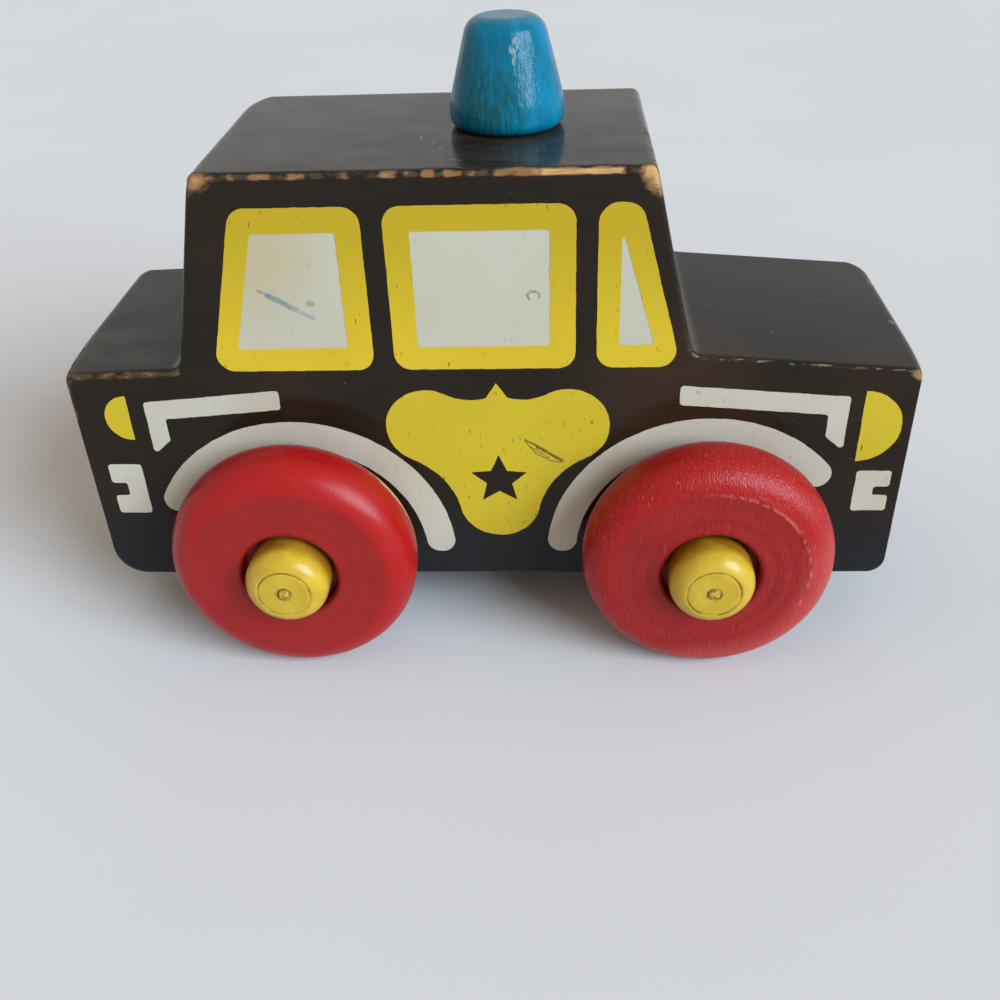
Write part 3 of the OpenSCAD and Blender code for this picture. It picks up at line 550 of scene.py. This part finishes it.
# Where the outlines of the loft lie: insets on each face, then depths below it
FACE_INSETS = (2.2, 1.5, 1.0, 0.65, 0.35, 0.15)
EASE_STEPS = 6
EASE_DEPTHS = [EDGE_ROUND * (1 - math.cos(math.pi / 2 * i / EASE_STEPS)) for i in range(EASE_STEPS + 1)]
WALL_DEPTHS = [1.2, 1.6, 2.1, 2.8, 3.7, 4.8, 6.2, 7.8, 9.6, 11.4, 13, 15, 17, 19]
BLOCK_STEP = 0.45
ARC_STEPS = 8


def drawn_in(draw, depth):
    """How far a wall is drawn in at a depth below the face, along a quarter of an ellipse."""
    amount, reach = draw
    return 0 if depth >= reach else amount * (1 - math.sqrt(1 - (1 - depth / reach) ** 2))


def moved_corner(before, at, after, move_before, move_after):
    """A corner after the walls before and after it have moved in."""
    m = unit(np.array([before[1] - at[1], at[0] - before[0]]))
    n = unit(np.array([at[1] - after[1], after[0] - at[0]]))
    cross = m[0] * n[1] - m[1] * n[0]
    if abs(cross) < 1e-9:
        return at + m * move_before
    s, t = np.dot(m, at) + move_before, np.dot(n, at) + move_after
    return np.array([s * n[1] - t * m[1], t * m[0] - s * n[0]]) / cross


def block_ring(draws, hood_draw, depth, inset=0.0):
    """Rounded corners of the block's outline at a depth below a face, moved in by inset: one arc a corner."""
    count = len(CORNERS)
    moves = [drawn_in(d, depth) + inset for d in draws]
    hood_way = unit(CORNERS[HOOD_FRONT + 1] - CORNERS[HOOD_FRONT])
    corners = [
        moved_corner(CORNERS[i - 1], CORNERS[i], CORNERS[(i + 1) % count], moves[i - 1], moves[i])
        for i in range(count)
    ]
    corners[HOOD_FRONT] = corners[HOOD_FRONT] + hood_way * drawn_in(hood_draw, depth)
    radii = [
        0 if r == 0 else r + inset if i in HOLLOW else max(r - inset, LEAST_ROUND)
        for i, r in enumerate(ROUNDS)
    ]
    return [
        corner_arc(corners[i - 1], corners[i], corners[(i + 1) % count], radii[i], ARC_STEPS)
        for i in range(count)
    ]


def block_rows():
    """Outlines of the block from its right face to its left one, as (arcs, y, depth).

    An outline on a face itself has its inset as a depth below 0."""
    rows = []
    for side, draws, hood_draw in ((RIGHT, RIGHT_DRAWS, RIGHT_HOOD_DRAW), (LEFT, LEFT_DRAWS, LEFT_HOOD_DRAW)):
        half = [(block_ring(draws, hood_draw, 0, inset), side * FACE_Y, -inset) for inset in FACE_INSETS]
        half += [(block_ring(draws, hood_draw, d), side * (FACE_Y - d), d) for d in EASE_DEPTHS + WALL_DEPTHS]
        rows += half if side == RIGHT else half[::-1]
    return rows


def ring_points(arcs, counts):
    points = []
    for arc, following, count in zip(arcs, arcs[1:] + arcs[:1], counts):
        points += arc + lerp_points(arc[-1], following[0], count)
    return np.array(points)


# Wear of the block

# Bare lengths of the roof's right edge, as (start, end, amount) along the car
ROOF_CHIPS = (
    (-33.3, -32.2, 0.5), (-30.2, -27.3, 0.72), (-25.0, -22.6, 0.74), (-17.9, -16.7, 0.58),
    (-12.7, -10.3, 0.74), (-9.6, -8.8, 0.55), (-7.1, -5.2, 0.75), (-4.2, -1.8, 0.7), (-1.2, -0.1, 0.6),
    (2.4, 9.4, 0.72), (8.6, 19.6, 0.98),
)
ROOF_CHIP_FADE = 0.3
# Heights at which an edge is that of the roof, the deck or the hood, and where the hood's edges start
ROOF_FROM_Z = ROOF_Z - 3
DECK_FROM_Z, HOOD_FROM_Z, HOOD_TO_Z = UNDER_Z + 30, HOOD_Z - 4, HOOD_Z + 3
HOOD_FROM_X = HOOD_FOOT_X - 3
# Bare corners, as (centre, reach, amount) of an ellipsoid
BARE_CORNERS = (
    ((-39.2, -20.5, 76.6), (5.0, 1.4, 2.6), 0.72), ((24.6, -20.5, 76.6), (3.2, 1.5, 4.2), 0.96),
    ((63.3, -20.5, 46.1), (1.8, 1.4, 1.2), 0.8),
)
BARE_CORNER_FADE = (0.6, 1.1)
# How worn the edges are, from 0 to 1
ROOF_WEAR, LEFT_WEAR, OTHER_WEAR = 0.24, 0.14, 0.12
DECK_WEAR_ADDED, DECK_WEAR_Y = 0.24, (-19, 2)
# How far the wear of an edge reaches, and by what share that varies along it
EDGE_CORE, EDGE_REACH, EDGE_UNEVEN = 0.15, 0.8, 0.7
FACE_NARROWING = 2.5
CORNER_SHARE, CORNER_FADE = 0.3, 1.2
# Light dashes along the rims: their depth below the face, half width, and strength on the hood and elsewhere
DASH_DEPTH, DASH_WIDTH = 0.22, (0.06, 0.2)
HOOD_DASHES, OTHER_DASHES = 1.0, 0.15
CHIP_DEPTH, CHIP_CONTRAST, SURFACE_WAVE = 0.2, 0.16, 0.01


def patch(x, start, end, fade):
    """1 between two places along the car, fading out over a short length."""
    return smooth(start - fade, start + fade, x) * (1 - smooth(end - fade, end + fade, x))


def edge_zone(x, y, z):
    """How worn the block's edges are near a point, from 0 to 1."""
    if z > ROOF_FROM_Z:
        if y > 0:
            return LEFT_WEAR
        amounts = [amount * patch(x, start, end, ROOF_CHIP_FADE) for start, end, amount in ROOF_CHIPS]
        return max(ROOF_WEAR, *amounts)
    if DECK_FROM_Z < z < HOOD_TO_Z and x < DECK_FOOT_X:
        return LEFT_WEAR + DECK_WEAR_ADDED * (1 - smooth(*DECK_WEAR_Y, y))
    return OTHER_WEAR


def dash_zone(x, y, z):
    """How much light dashes show along the block's edges near a point."""
    if y > 0:
        return 0.0
    return HOOD_DASHES if HOOD_FROM_Z < z < HOOD_TO_Z and x > HOOD_FROM_X else OTHER_DASHES


def bare_corner(point):
    return max(
        amount * float(1 - smooth(*BARE_CORNER_FADE, np.linalg.norm((np.array(point) - centre) / reach)))
        for centre, reach, amount in BARE_CORNERS
    )


def corner_closeness(arcs, points):
    """How near each point of an outline is to an outward corner, from 0 to 1."""
    near = np.zeros(len(points))
    for i, (arc, radius) in enumerate(zip(arcs, ROUNDS)):
        if radius > 0 and i not in HOLLOW:
            gap = np.linalg.norm(points - arc[len(arc) // 2], axis=1)
            core = CORNER_SHARE * radius
            near = np.maximum(near, 1 - smooth(core, core + CORNER_FADE, gap))
    return near


def edge_closeness(x, y, z, depth, corner):
    """How near a point is to an edge of the block, from 0 to 1, where corner tells how near it is to a corner."""
    reach = EDGE_REACH * (1 + EDGE_UNEVEN * ripple((x, math.copysign(1, y), z), 2.3, 11))
    if depth < 0:
        return 1 - smooth(EDGE_CORE, reach, -FACE_NARROWING * depth)
    return max(1 - smooth(EDGE_CORE, reach, depth), corner)


def block():
    """The block lofted through close outlines, with its edges chipped."""
    base = block_ring(RIGHT_DRAWS, RIGHT_HOOD_DRAW, EDGE_ROUND)
    counts = [divisions(arc[-1], following[0], BLOCK_STEP) for arc, following in zip(base, base[1:] + base[:1])]
    corner_near = corner_closeness(base, ring_points(base, counts))

    bm = bmesh.new()
    grid, rim, zone = [], [], []
    for arcs, y, depth in block_rows():
        points = ring_points(arcs, counts)
        grid.append([bm.verts.new((x, y, z)) for x, z in points])
        for (x, z), corner in zip(points, corner_near):
            close = edge_closeness(x, y, z, depth, corner)
            rim.append((1 - smooth(*DASH_WIDTH, abs(depth - DASH_DEPTH))) * dash_zone(x, y, z))
            zone.append(max(close * edge_zone(x, y, z), bare_corner((x, y, z))))
    for first, second in zip(grid, grid[1:]):
        for i in range(len(first)):
            j = (i + 1) % len(first)
            bm.faces.new((first[i], first[j], second[j], second[i]))
    bm.faces.new(grid[0])
    bm.faces.new(grid[-1])
    bmesh.ops.recalc_face_normals(bm, faces=bm.faces)
    bm.normal_update()

    wear_layer = bm.verts.layers.float.new("wear")
    rim_layer = bm.verts.layers.float.new("rim")
    moves = []
    for vert, dashes, worn in zip(bm.verts, rim, zone):
        chips = ripple(vert.co, 2.2) + 0.6 * ripple(vert.co, 0.9, 7)
        worn = float(np.clip(worn + CHIP_CONTRAST * chips * smooth(0.02, 0.3, worn), 0, 1))
        vert[wear_layer] = worn
        vert[rim_layer] = dashes
        depth = CHIP_DEPTH * worn * (0.7 + 0.5 * chips) + SURFACE_WAVE * ripple(vert.co, 6, 3)
        moves.append(vert.normal * depth)
    for vert, move in zip(bm.verts, moves):
        vert.co -= move
        vert.co = [min(max(c, lo), hi) for c, lo, hi in zip(vert.co, BLOCK_LOW, BLOCK_HIGH)]
    return piece("painted_block", bm, black_paint(), "car", ["body_block"])


block()

# Turned pieces

SEGMENTS, PEG_SEGMENTS = 224, 128


def lathe(outline, warp, closed=False, segments=SEGMENTS):
    """A turned solid of (radius, height) points about +Z. Warp moves a point (radius, height, angle)."""
    bm = bmesh.new()
    rings = []
    for radius, height in outline:
        ring = []
        for i in range(1 if radius < 1e-6 else segments):
            angle = math.tau * i / segments
            r, h = warp(radius, height, angle)
            ring.append(bm.verts.new((r * math.cos(angle), r * math.sin(angle), h)))
        rings.append(ring)
    for a, b in zip(rings, rings[1:] + (rings[:1] if closed else [])):
        for i in range(segments):
            j = (i + 1) % segments
            corners = [a[i % len(a)], a[j % len(a)], b[j % len(b)], b[i % len(b)]]
            bm.faces.new(list(dict.fromkeys(corners)))
    return bm


def laid_out(bm, side, y):
    """Turns a lathed solid's +Z outwards, with its angles from +X to +Z, and moves it out by y."""
    bm.transform(Matrix(((1, 0, 0, 0), (0, 0, side, 0), (0, 1, 0, 0), (0, 0, 0, 1))))
    bmesh.ops.translate(bm, vec=(0, side * y, 0), verts=bm.verts)
    return bm


# Wheels

WHEEL_R = box_mm("wheel_front_right")[1][2] / 2
WHEEL_IN_Y, WHEEL_OUT_Y = box_mm("wheel_front_left")[0][1], box_mm("wheel_front_left")[1][1]
WHEEL_WIDTH = WHEEL_OUT_Y - WHEEL_IN_Y
TREAD_ROUND, INNER_ROUND = 4.8, 5.2
BORE_R, RECESS_R, RECESS_DEPTH, LIP_ROUND, RECESS_ROUND = 3.3, 7.35, 3.0, 0.8, 0.4
BORE_END = 0.6
WHEEL_STEP, WHEEL_ARC_STEPS = 0.4, 14
# Turning marks: waves of the whole face, shallow rings as (radius, width, depth), and a ridge over some angles
TURNED_WAVE, RING_WAVE = 0.03, 0.015
FACE_RINGS = ((12.2, 0.5, 0.09), (9.6, 0.7, 0.14))
FACE_START_R = (8.2, 8.7)
RIDGE_R, RIDGE_WIDTH = 14.7, 0.3
RIDGE_START, RIDGE_END = (-0.9, -0.3), (1.1, 1.7)


def wheel_outline():
    points = [
        (BORE_R, 0), (WHEEL_R, 0), (WHEEL_R, WHEEL_WIDTH), (RECESS_R, WHEEL_WIDTH),
        (RECESS_R, WHEEL_WIDTH - RECESS_DEPTH), (BORE_R, WHEEL_WIDTH - RECESS_DEPTH), (BORE_R, BORE_END),
    ]
    rounds = {1: INNER_ROUND, 2: TREAD_ROUND, 3: LIP_ROUND, 4: RECESS_ROUND}
    return profile(points, rounds, WHEEL_STEP, WHEEL_ARC_STEPS)


def wheel(name, side, seed, streaks, worn, ridge):
    """A wheel with fine turning marks, and a raised ring of the given height left on part of its shoulder."""
    body = name.replace("wheel_", "") + "_wheel"
    joint = next(j for j in frame["joints"] if j["child"] == body)
    centre = (joint["pos_m"][0] / MM, 0, joint["pos_m"][2] / MM)

    def warp(radius, height, angle):
        around = (4 * math.cos(angle), 4 * math.sin(angle), radius + seed)
        wave = TURNED_WAVE * ripple(around, 1.4, seed) + RING_WAVE * ripple((0, seed, radius), 0.8)
        outer = smooth(WHEEL_WIDTH - TREAD_ROUND, WHEEL_WIDTH - 1, height) * smooth(*FACE_START_R, radius)
        sector = smooth(*RIDGE_START, angle if angle < 4 else angle - math.tau) * (1 - smooth(*RIDGE_END, angle))
        raised = ridge * bell(radius, RIDGE_R, RIDGE_WIDTH) * sector * (0.7 + 0.6 * ripple(around, 0.5, seed))
        hollow = sum(depth * bell(radius, at, width) for at, width, depth in FACE_RINGS)
        return min(radius + wave, WHEEL_R), height + outer * (wave + raised - hollow)

    bm = laid_out(lathe(wheel_outline(), warp, closed=True), side, WHEEL_IN_Y)
    paint = red_paint("red_paint_" + name, seed, streaks, worn, ridge)
    return piece(name + "_turned", bm, paint, body, [name], centre)


wheel("wheel_front_right", RIGHT, seed=3.0, streaks=1.0, worn=0, ridge=0.4)
wheel("wheel_rear_right", RIGHT, seed=11.0, streaks=0.25, worn=0.9, ridge=0.0)
wheel("wheel_front_left", LEFT, seed=23.0, streaks=0.7, worn=0, ridge=0.12)
wheel("wheel_rear_left", LEFT, seed=37.0, streaks=0.5, worn=0.4, ridge=0.0)

# Pegs

PEG_R, HEAD_R, PEG_INSERT = 3.2, 6.35, 15
HEAD_IN, HEAD_LENGTH, HEAD_ROUND, SHOULDER_DEPTH = 10.0, 6.9, 3.0, 2.9
PEG_ROUNDS = {1: 0.6, 2: 0.3, 3: 0.7}
PEG_STEP, DOME_STEPS, FACE_STEP = 0.5, 14, 0.3
NIB_R, NIB_HEIGHT, NIB_FADE, NIB_SQUARE = 0.8, 0.3, 0.5, 0.9
NIB_TAPER, NIB_BEVEL, NIB_BEVEL_DROP = 0.05, 0.2, 0.1
# Grooves in the face: how far in from its edge, and out from its nib, the floor and the inner wall of each lie
GROOVE_DEPTH, GROOVE_ROUND = 0.09, 0.05
FACE_GROOVE, NIB_GROOVE = (0.08, 0.22, 0.34), (0.42, 0.28, 0.1)
GROOVED_R, GROOVED_DEPTH = 4.3, 0.6
PEG_WAVE, PEG_WAVE_START = 0.03, (5, 6)


def peg_outline():
    """A peg from the end of its shank to its face, with the block's face at zero height."""
    face = HEAD_IN + HEAD_LENGTH
    sunk, shoulder, nib_top = face - GROOVE_DEPTH, face - SHOULDER_DEPTH, face + NIB_HEIGHT
    dome_r = HEAD_R - HEAD_ROUND
    flat_r = dome_r + math.sqrt(HEAD_ROUND ** 2 - SHOULDER_DEPTH ** 2)
    points = [(0, -PEG_INSERT), (PEG_R, -PEG_INSERT), (PEG_R, HEAD_IN), (HEAD_R, HEAD_IN), (HEAD_R, shoulder)]
    line = profile(points, PEG_ROUNDS, PEG_STEP)
    sweep = math.asin(SHOULDER_DEPTH / HEAD_ROUND)
    for angle in (sweep * i / DOME_STEPS for i in range(1, DOME_STEPS + 1)):
        line.append(np.array([dome_r + HEAD_ROUND * math.cos(angle), shoulder + HEAD_ROUND * math.sin(angle)]))
    face_floor, face_wall, face_end = (flat_r - d for d in FACE_GROOVE)
    nib_end, nib_wall, nib_floor = (NIB_R + d for d in NIB_GROOVE)
    inner = [
        (face_floor, sunk), (face_wall, sunk), (face_end, face),
        (nib_end, face), (nib_wall, sunk), (nib_floor, sunk),
        (NIB_R - NIB_TAPER, nib_top - NIB_BEVEL_DROP), (NIB_R - NIB_BEVEL, nib_top), (0, nib_top),
    ]
    return line + profile(inner, {3: GROOVE_ROUND}, FACE_STEP)


def peg(node, side, seed):
    """A peg with a slightly wavy head, a rounded square nib, and its grooves marked for the paint."""
    flat_y = FACE_Y + HEAD_IN + HEAD_LENGTH
    low, high = box_mm(node)
    centre = ((low[0] + high[0]) / 2, 0, (low[2] + high[2]) / 2)

    def warp(radius, height, angle):
        square = (abs(math.cos(angle + seed)) ** 4 + abs(math.sin(angle + seed)) ** 4) ** -0.25
        nib = 1 - smooth(NIB_R, NIB_R + NIB_FADE, radius)
        around = (3 * math.cos(angle), 3 * math.sin(angle), height)
        wave = PEG_WAVE * ripple(around, 1.5, seed) * smooth(*PEG_WAVE_START, height)
        return radius * (1 + nib * (NIB_SQUARE * square - 1)) + wave * (radius > NIB_R), height

    bm = laid_out(lathe(peg_outline(), warp, segments=PEG_SEGMENTS), side, FACE_Y)
    layer = bm.verts.layers.float.new("groove")
    for vert in bm.verts:
        sunk = flat_y - GROOVED_DEPTH < abs(vert.co.y) < flat_y - 0.5 * GROOVE_DEPTH
        vert[layer] = 1.0 if sunk and math.hypot(vert.co.x, vert.co.z) < GROOVED_R else 0.0
    paint = yellow_paint("yellow_paint_" + node, seed)
    return piece(node + "_turned", bm, paint, "car", [node], centre)


for number, place in enumerate(("front_right", "rear_right", "front_left", "rear_left")):
    peg("axle_peg_" + place, RIGHT if place.endswith("right") else LEFT, 1.3 + 2.1 * number)

# Beacon

BEACON_R, BEACON_TOP_R, BEACON_HEIGHT = 8.4, 5.35, 14.9
TENON_R, TENON_LENGTH = 4.75, 12
BEACON_FOOT, BEACON_KNEE, BEACON_SHOULDER = 1.6, 11, 2.9
BEACON_STEP, BEACON_ARC_STEPS = 0.6, 10
BEACON_WAVE, BEACON_FINE_WAVE = 0.07, 0.03
BEACON_WAVE_START_Z, BEACON_WAVE_START_R = (0.2, 2), (1, 4)


def beacon():
    """A bell with a slightly wavy wall, on its tenon."""
    low, high = box_mm("beacon")
    centre = ((low[0] + high[0]) / 2, (low[1] + high[1]) / 2, ROOF_Z)
    points = [
        (0, -TENON_LENGTH), (TENON_R, -TENON_LENGTH), (TENON_R, 0), (BEACON_R, 0), (BEACON_R, 2 * BEACON_FOOT),
        (BEACON_TOP_R, BEACON_HEIGHT), (0, BEACON_HEIGHT),
    ]
    rounds = {3: BEACON_FOOT, 4: BEACON_KNEE, 5: BEACON_SHOULDER}

    def warp(radius, height, angle):
        around = (6 * math.cos(angle), 6 * math.sin(angle), 0.25 * height)
        wave = BEACON_WAVE * ripple(around, 1.6) + BEACON_FINE_WAVE * ripple(around, 0.7, 5)
        wave = wave * smooth(*BEACON_WAVE_START_Z, height) * smooth(*BEACON_WAVE_START_R, radius)
        return min(radius + wave, BEACON_R), height

    bm = lathe(profile(points, rounds, BEACON_STEP, BEACON_ARC_STEPS), warp)
    return piece("beacon_turned", bm, blue_paint(), "car", ["beacon"], centre)


beacon()

# Prints

PRINT_STEP = 0.2
SHARP_COSINE = math.cos(math.radians(35))
STRAIGHT_RATIO = 3
PRINT_SUNK = 0.06
PANE_THICKNESS, TRIM_THICKNESS, YELLOW_THICKNESS = 0.04, 0.07, 0.08
PANE_GROWTH = 0.4
PRINT_WAVE, PRINT_FINE_WAVE = 0.06, 0.05
SIDES_APART = 9


def outer_loops(node):
    """Outlines of a printed layer's outer face, as closed lines of (x, z) points, all the same way round it."""
    mesh = frame["nodes"][node].data
    points = [np.array(v.co) / MM for v in mesh.vertices]
    outer = max(abs(p[1]) for p in points)
    ways = Counter()
    for face in mesh.polygons:
        if all(abs(abs(points[i][1]) - outer) < 1e-3 for i in face.vertices):
            keys = [(round(float(points[i][0]), 3), round(float(points[i][2]), 3)) for i in face.vertices]
            ways.update(zip(keys, keys[1:] + keys[:1]))
    ahead = {a: b for a, b in ways if ways[a, b] > ways[b, a]}
    loops = []
    for start in sorted(ahead):
        if start in ahead:
            loop = [start]
            while ahead[loop[-1]] != start:
                loop.append(ahead.pop(loop[-1]))
            ahead.pop(loop[-1])
            loops.append(np.array(loop))
    return loops


def resampled(loop, step):
    """A closed line drawn smoothly through the given points, with its sharp corners and straight parts kept."""
    sides = np.roll(loop, -1, axis=0) - loop
    lengths = np.linalg.norm(sides, axis=1)
    ways = sides / lengths[:, None]
    arrive, leave = [], []
    for i in range(len(loop)):
        before, after = lengths[i - 1], lengths[i]
        if np.dot(ways[i - 1], ways[i]) < SHARP_COSINE:
            into, out = ways[i - 1], ways[i]
        elif max(before, after) > STRAIGHT_RATIO * min(before, after):
            into = out = ways[i - 1] if before > after else ways[i]
        else:
            into = out = unit(ways[i - 1] * after + ways[i] * before)
        arrive.append(into)
        leave.append(out)
    line = []
    for i, length in enumerate(lengths):
        j = (i + 1) % len(loop)
        count = max(1, round(length / step))
        for t in np.arange(count) / count:
            line.append(
                (2 * t ** 3 - 3 * t ** 2 + 1) * loop[i] + (3 * t ** 2 - 2 * t ** 3) * loop[j]
                + length * ((t ** 3 - 2 * t ** 2 + t) * leave[i] + (t ** 3 - t ** 2) * arrive[j])
            )
    return np.array(line)


def unevenness(x, side, z):
    """How far the edge of a print strays at a point of its outline."""
    place = (x, SIDES_APART * side, z)
    return PRINT_WAVE * ripple(place, 2.4) + PRINT_FINE_WAVE * ripple(place, 0.8, 4)


def printed(node, material, thickness, growth=0.0):
    """A printed layer with the node's outlines, grown a little and made uneven as by a screen."""
    side = RIGHT if node.endswith("right") else LEFT
    bm = bmesh.new()
    for loop in outer_loops(node):
        line = resampled(loop, PRINT_STEP)
        way = np.roll(line, -1, axis=0) - np.roll(line, 1, axis=0)
        away = -side * np.column_stack([way[:, 1], -way[:, 0]]) / np.linalg.norm(way, axis=1)[:, None]
        strays = np.array([unevenness(x, side, z) for x, z in line])
        line = line + away * (growth + strays)[:, None]
        verts = [bm.verts.new((x, side * (FACE_Y - PRINT_SUNK), z)) for x, z in line]
        for a, b in zip(verts, verts[1:] + verts[:1]):
            bm.edges.new((a, b))
    bmesh.ops.triangle_fill(bm, use_beauty=True, edges=bm.edges)
    raised = bmesh.ops.extrude_face_region(bm, geom=bm.faces[:])
    top = [v for v in raised["geom"] if isinstance(v, bmesh.types.BMVert)]
    bmesh.ops.translate(bm, vec=(0, side * (PRINT_SUNK + thickness), 0), verts=top)
    made = piece(node + "_ink", bm, material, "car", [node])
    made.data.shade_flat()
    return made


PANE_STAIN = ((-33, 66), 15, WHITE_STAINED)
PANE_MARKS = (
    (((-31.4, 60.4), (-30.0, 59.6)), 0.4, PEN_FAINT),
    (((-30.1, 59.6), (-26.5, 57.5)), 0.85, PEN_GREEN),
    (((-26.7, 57.6), (-24.1, 56.1)), 0.65, PEN_GREY),
    (((-24.4, 58.4), (-24.0, 58.3)), 0.9, SMEAR),
    (((6.8, 58.6), (6.5, 59.2), (7.0, 59.7), (7.7, 59.7), (8.2, 59.3), (8.2, 58.8)), 0.4, SCUFF),
)
SHIELD_MARKS = (
    (((5.8, 35.6), (8.2, 34.2), (11.4, 31.7)), 0.4, SCRATCHED),
    (((7.6, 34.3), (11.5, 31.9)), 0.5, SCRATCHED),
    (((5.9, 35.2), (7.4, 33.2), (9.6, 31.9), (11.2, 31.5)), 0.25, SCRATCHED),
    (((6.6, 34.4), (9.4, 32.4)), 0.25, SCRATCHED),
)


def side_prints(side, seed, pane_marks):
    """The printed layers that both sides have."""
    yellow = ink("yellow_ink_" + side, YELLOW, YELLOW_AGED, seed + 2, flecked=0.85)
    white = ink("white_ink_" + side, TRIM_WHITE, TRIM_AGED, seed + 5, flecked=0.45)
    panes = ink("white_ink_panes_" + side, WHITE, WHITE_AGED, seed + 9, 0.2, pane_marks, PANE_STAIN)
    frames = ink("yellow_ink_frames_" + side, FRAME_YELLOW, FRAME_AGED, seed + 2, 0.85, top=FRAME_TOP)
    printed("window_panes_" + side, panes, PANE_THICKNESS, PANE_GROWTH)
    printed("window_frames_" + side, frames, YELLOW_THICKNESS)
    printed("lamps_" + side, yellow, YELLOW_THICKNESS)
    for name in ("wheel_arches_", "trim_lines_", "bumper_marks_"):
        printed(name + side, white, TRIM_THICKNESS)


side_prints("right", 0.0, PANE_MARKS)
side_prints("left", 40.0, ())
shield_ink = ink("yellow_ink_shield", YELLOW, YELLOW_AGED, 15, 0.65, SHIELD_MARKS)
printed("shield_right", shield_ink, YELLOW_THICKNESS)

# Floor, light and camera

FLOOR_COLOUR, FLOOR_SHADED = srgb(210, 212, 214), srgb(208, 210, 212)
FLOOR_HALF = 3.0
FILL_COLOUR, FILL_LEVEL = (1.0, 0.85, 0.72, 1), 0.54
KEY_COLOUR, KEY_LEVEL, KEY_ANGLE = (0.84, 1.0, 1.16), 3.95, math.radians(38)
KEY_TOWARDS = (0.67, -0.52, 0.44)
CAMERA_PLACE = (10.29, -162.27, 121.10)
CAMERA_ANGLES = (34.21, 3.50, -2.22)
LENS, SENSOR_WIDTH, CLIP_START = 39.15, 36, 0.005


def floor():
    bm = bmesh.new()
    bmesh.ops.create_grid(bm, x_segments=2, y_segments=2, size=FLOOR_HALF)
    mesh = bpy.data.meshes.new("floor")
    bm.to_mesh(mesh)
    bm.free()
    p = Paint("floor", specular_ior_level=0.1)
    tint = p.mix(p.ramp(p.noise(120), 0.3, 0.7), FLOOR_COLOUR, FLOOR_SHADED)
    mesh.materials.append(p.finish(tint, 0.9))
    made = bpy.data.objects.new("floor", mesh)
    scene.collection.objects.link(made)


def world():
    """Soft light from all round, with the floor's colour as the backdrop that is seen and mirrored."""
    made = bpy.data.worlds.new("studio")
    scene.world = made
    made.use_nodes = True
    nodes, links = made.node_tree.nodes, made.node_tree.links
    nodes.clear()
    light = nodes.new("ShaderNodeBackground")
    light.inputs["Color"].default_value = FILL_COLOUR
    light.inputs["Strength"].default_value = FILL_LEVEL
    backdrop = nodes.new("ShaderNodeBackground")
    backdrop.inputs["Color"].default_value = FLOOR_COLOUR
    backdrop.inputs["Strength"].default_value = 1.0
    path = nodes.new("ShaderNodeLightPath")
    seen = path.outputs["Is Camera Ray"]
    for name in ("Is Glossy Ray", "Is Transmission Ray"):
        either = nodes.new("ShaderNodeMath")
        either.operation = "MAXIMUM"
        links.new(seen, either.inputs[0])
        links.new(path.outputs[name], either.inputs[1])
        seen = either.outputs[0]
    mix = nodes.new("ShaderNodeMixShader")
    links.new(seen, mix.inputs[0])
    links.new(light.outputs[0], mix.inputs[1])
    links.new(backdrop.outputs[0], mix.inputs[2])
    links.new(mix.outputs[0], nodes.new("ShaderNodeOutputWorld").inputs[0])


def key_light():
    data = bpy.data.lights.new("key", "SUN")
    data.energy = KEY_LEVEL
    data.angle = KEY_ANGLE
    data.color = KEY_COLOUR
    made = bpy.data.objects.new("key", data)
    made.rotation_mode = "QUATERNION"
    made.rotation_quaternion = Vector(KEY_TOWARDS).normalized().to_track_quat("Z", "Y")
    scene.collection.objects.link(made)


def camera():
    """A camera at its place, pitched down, turned and banked by its angles."""
    (cp, sp), (cy, sy), (cr, sr) = ((math.cos(a), math.sin(a)) for a in map(math.radians, CAMERA_ANGLES))
    tilt = Matrix(((1, 0, 0), (0, -sp, -cp), (0, cp, -sp)))
    turn = Matrix(((cy, sy, 0), (-sy, cy, 0), (0, 0, 1)))
    bank = Matrix(((cr, -sr, 0), (sr, cr, 0), (0, 0, 1)))
    right, down, ahead = bank @ tilt @ turn
    data = bpy.data.cameras.new("camera")
    data.lens, data.sensor_width = LENS, SENSOR_WIDTH
    data.clip_start = CLIP_START
    made = bpy.data.objects.new("camera", data)
    axes = Matrix((right, -down, -ahead)).transposed().to_4x4()
    made.matrix_world = Matrix.Translation(Vector(CAMERA_PLACE) * MM) @ axes
    scene.collection.objects.link(made)
    scene.camera = made


floor()
world()
key_light()
camera()
scene.view_settings.view_transform = "Standard"
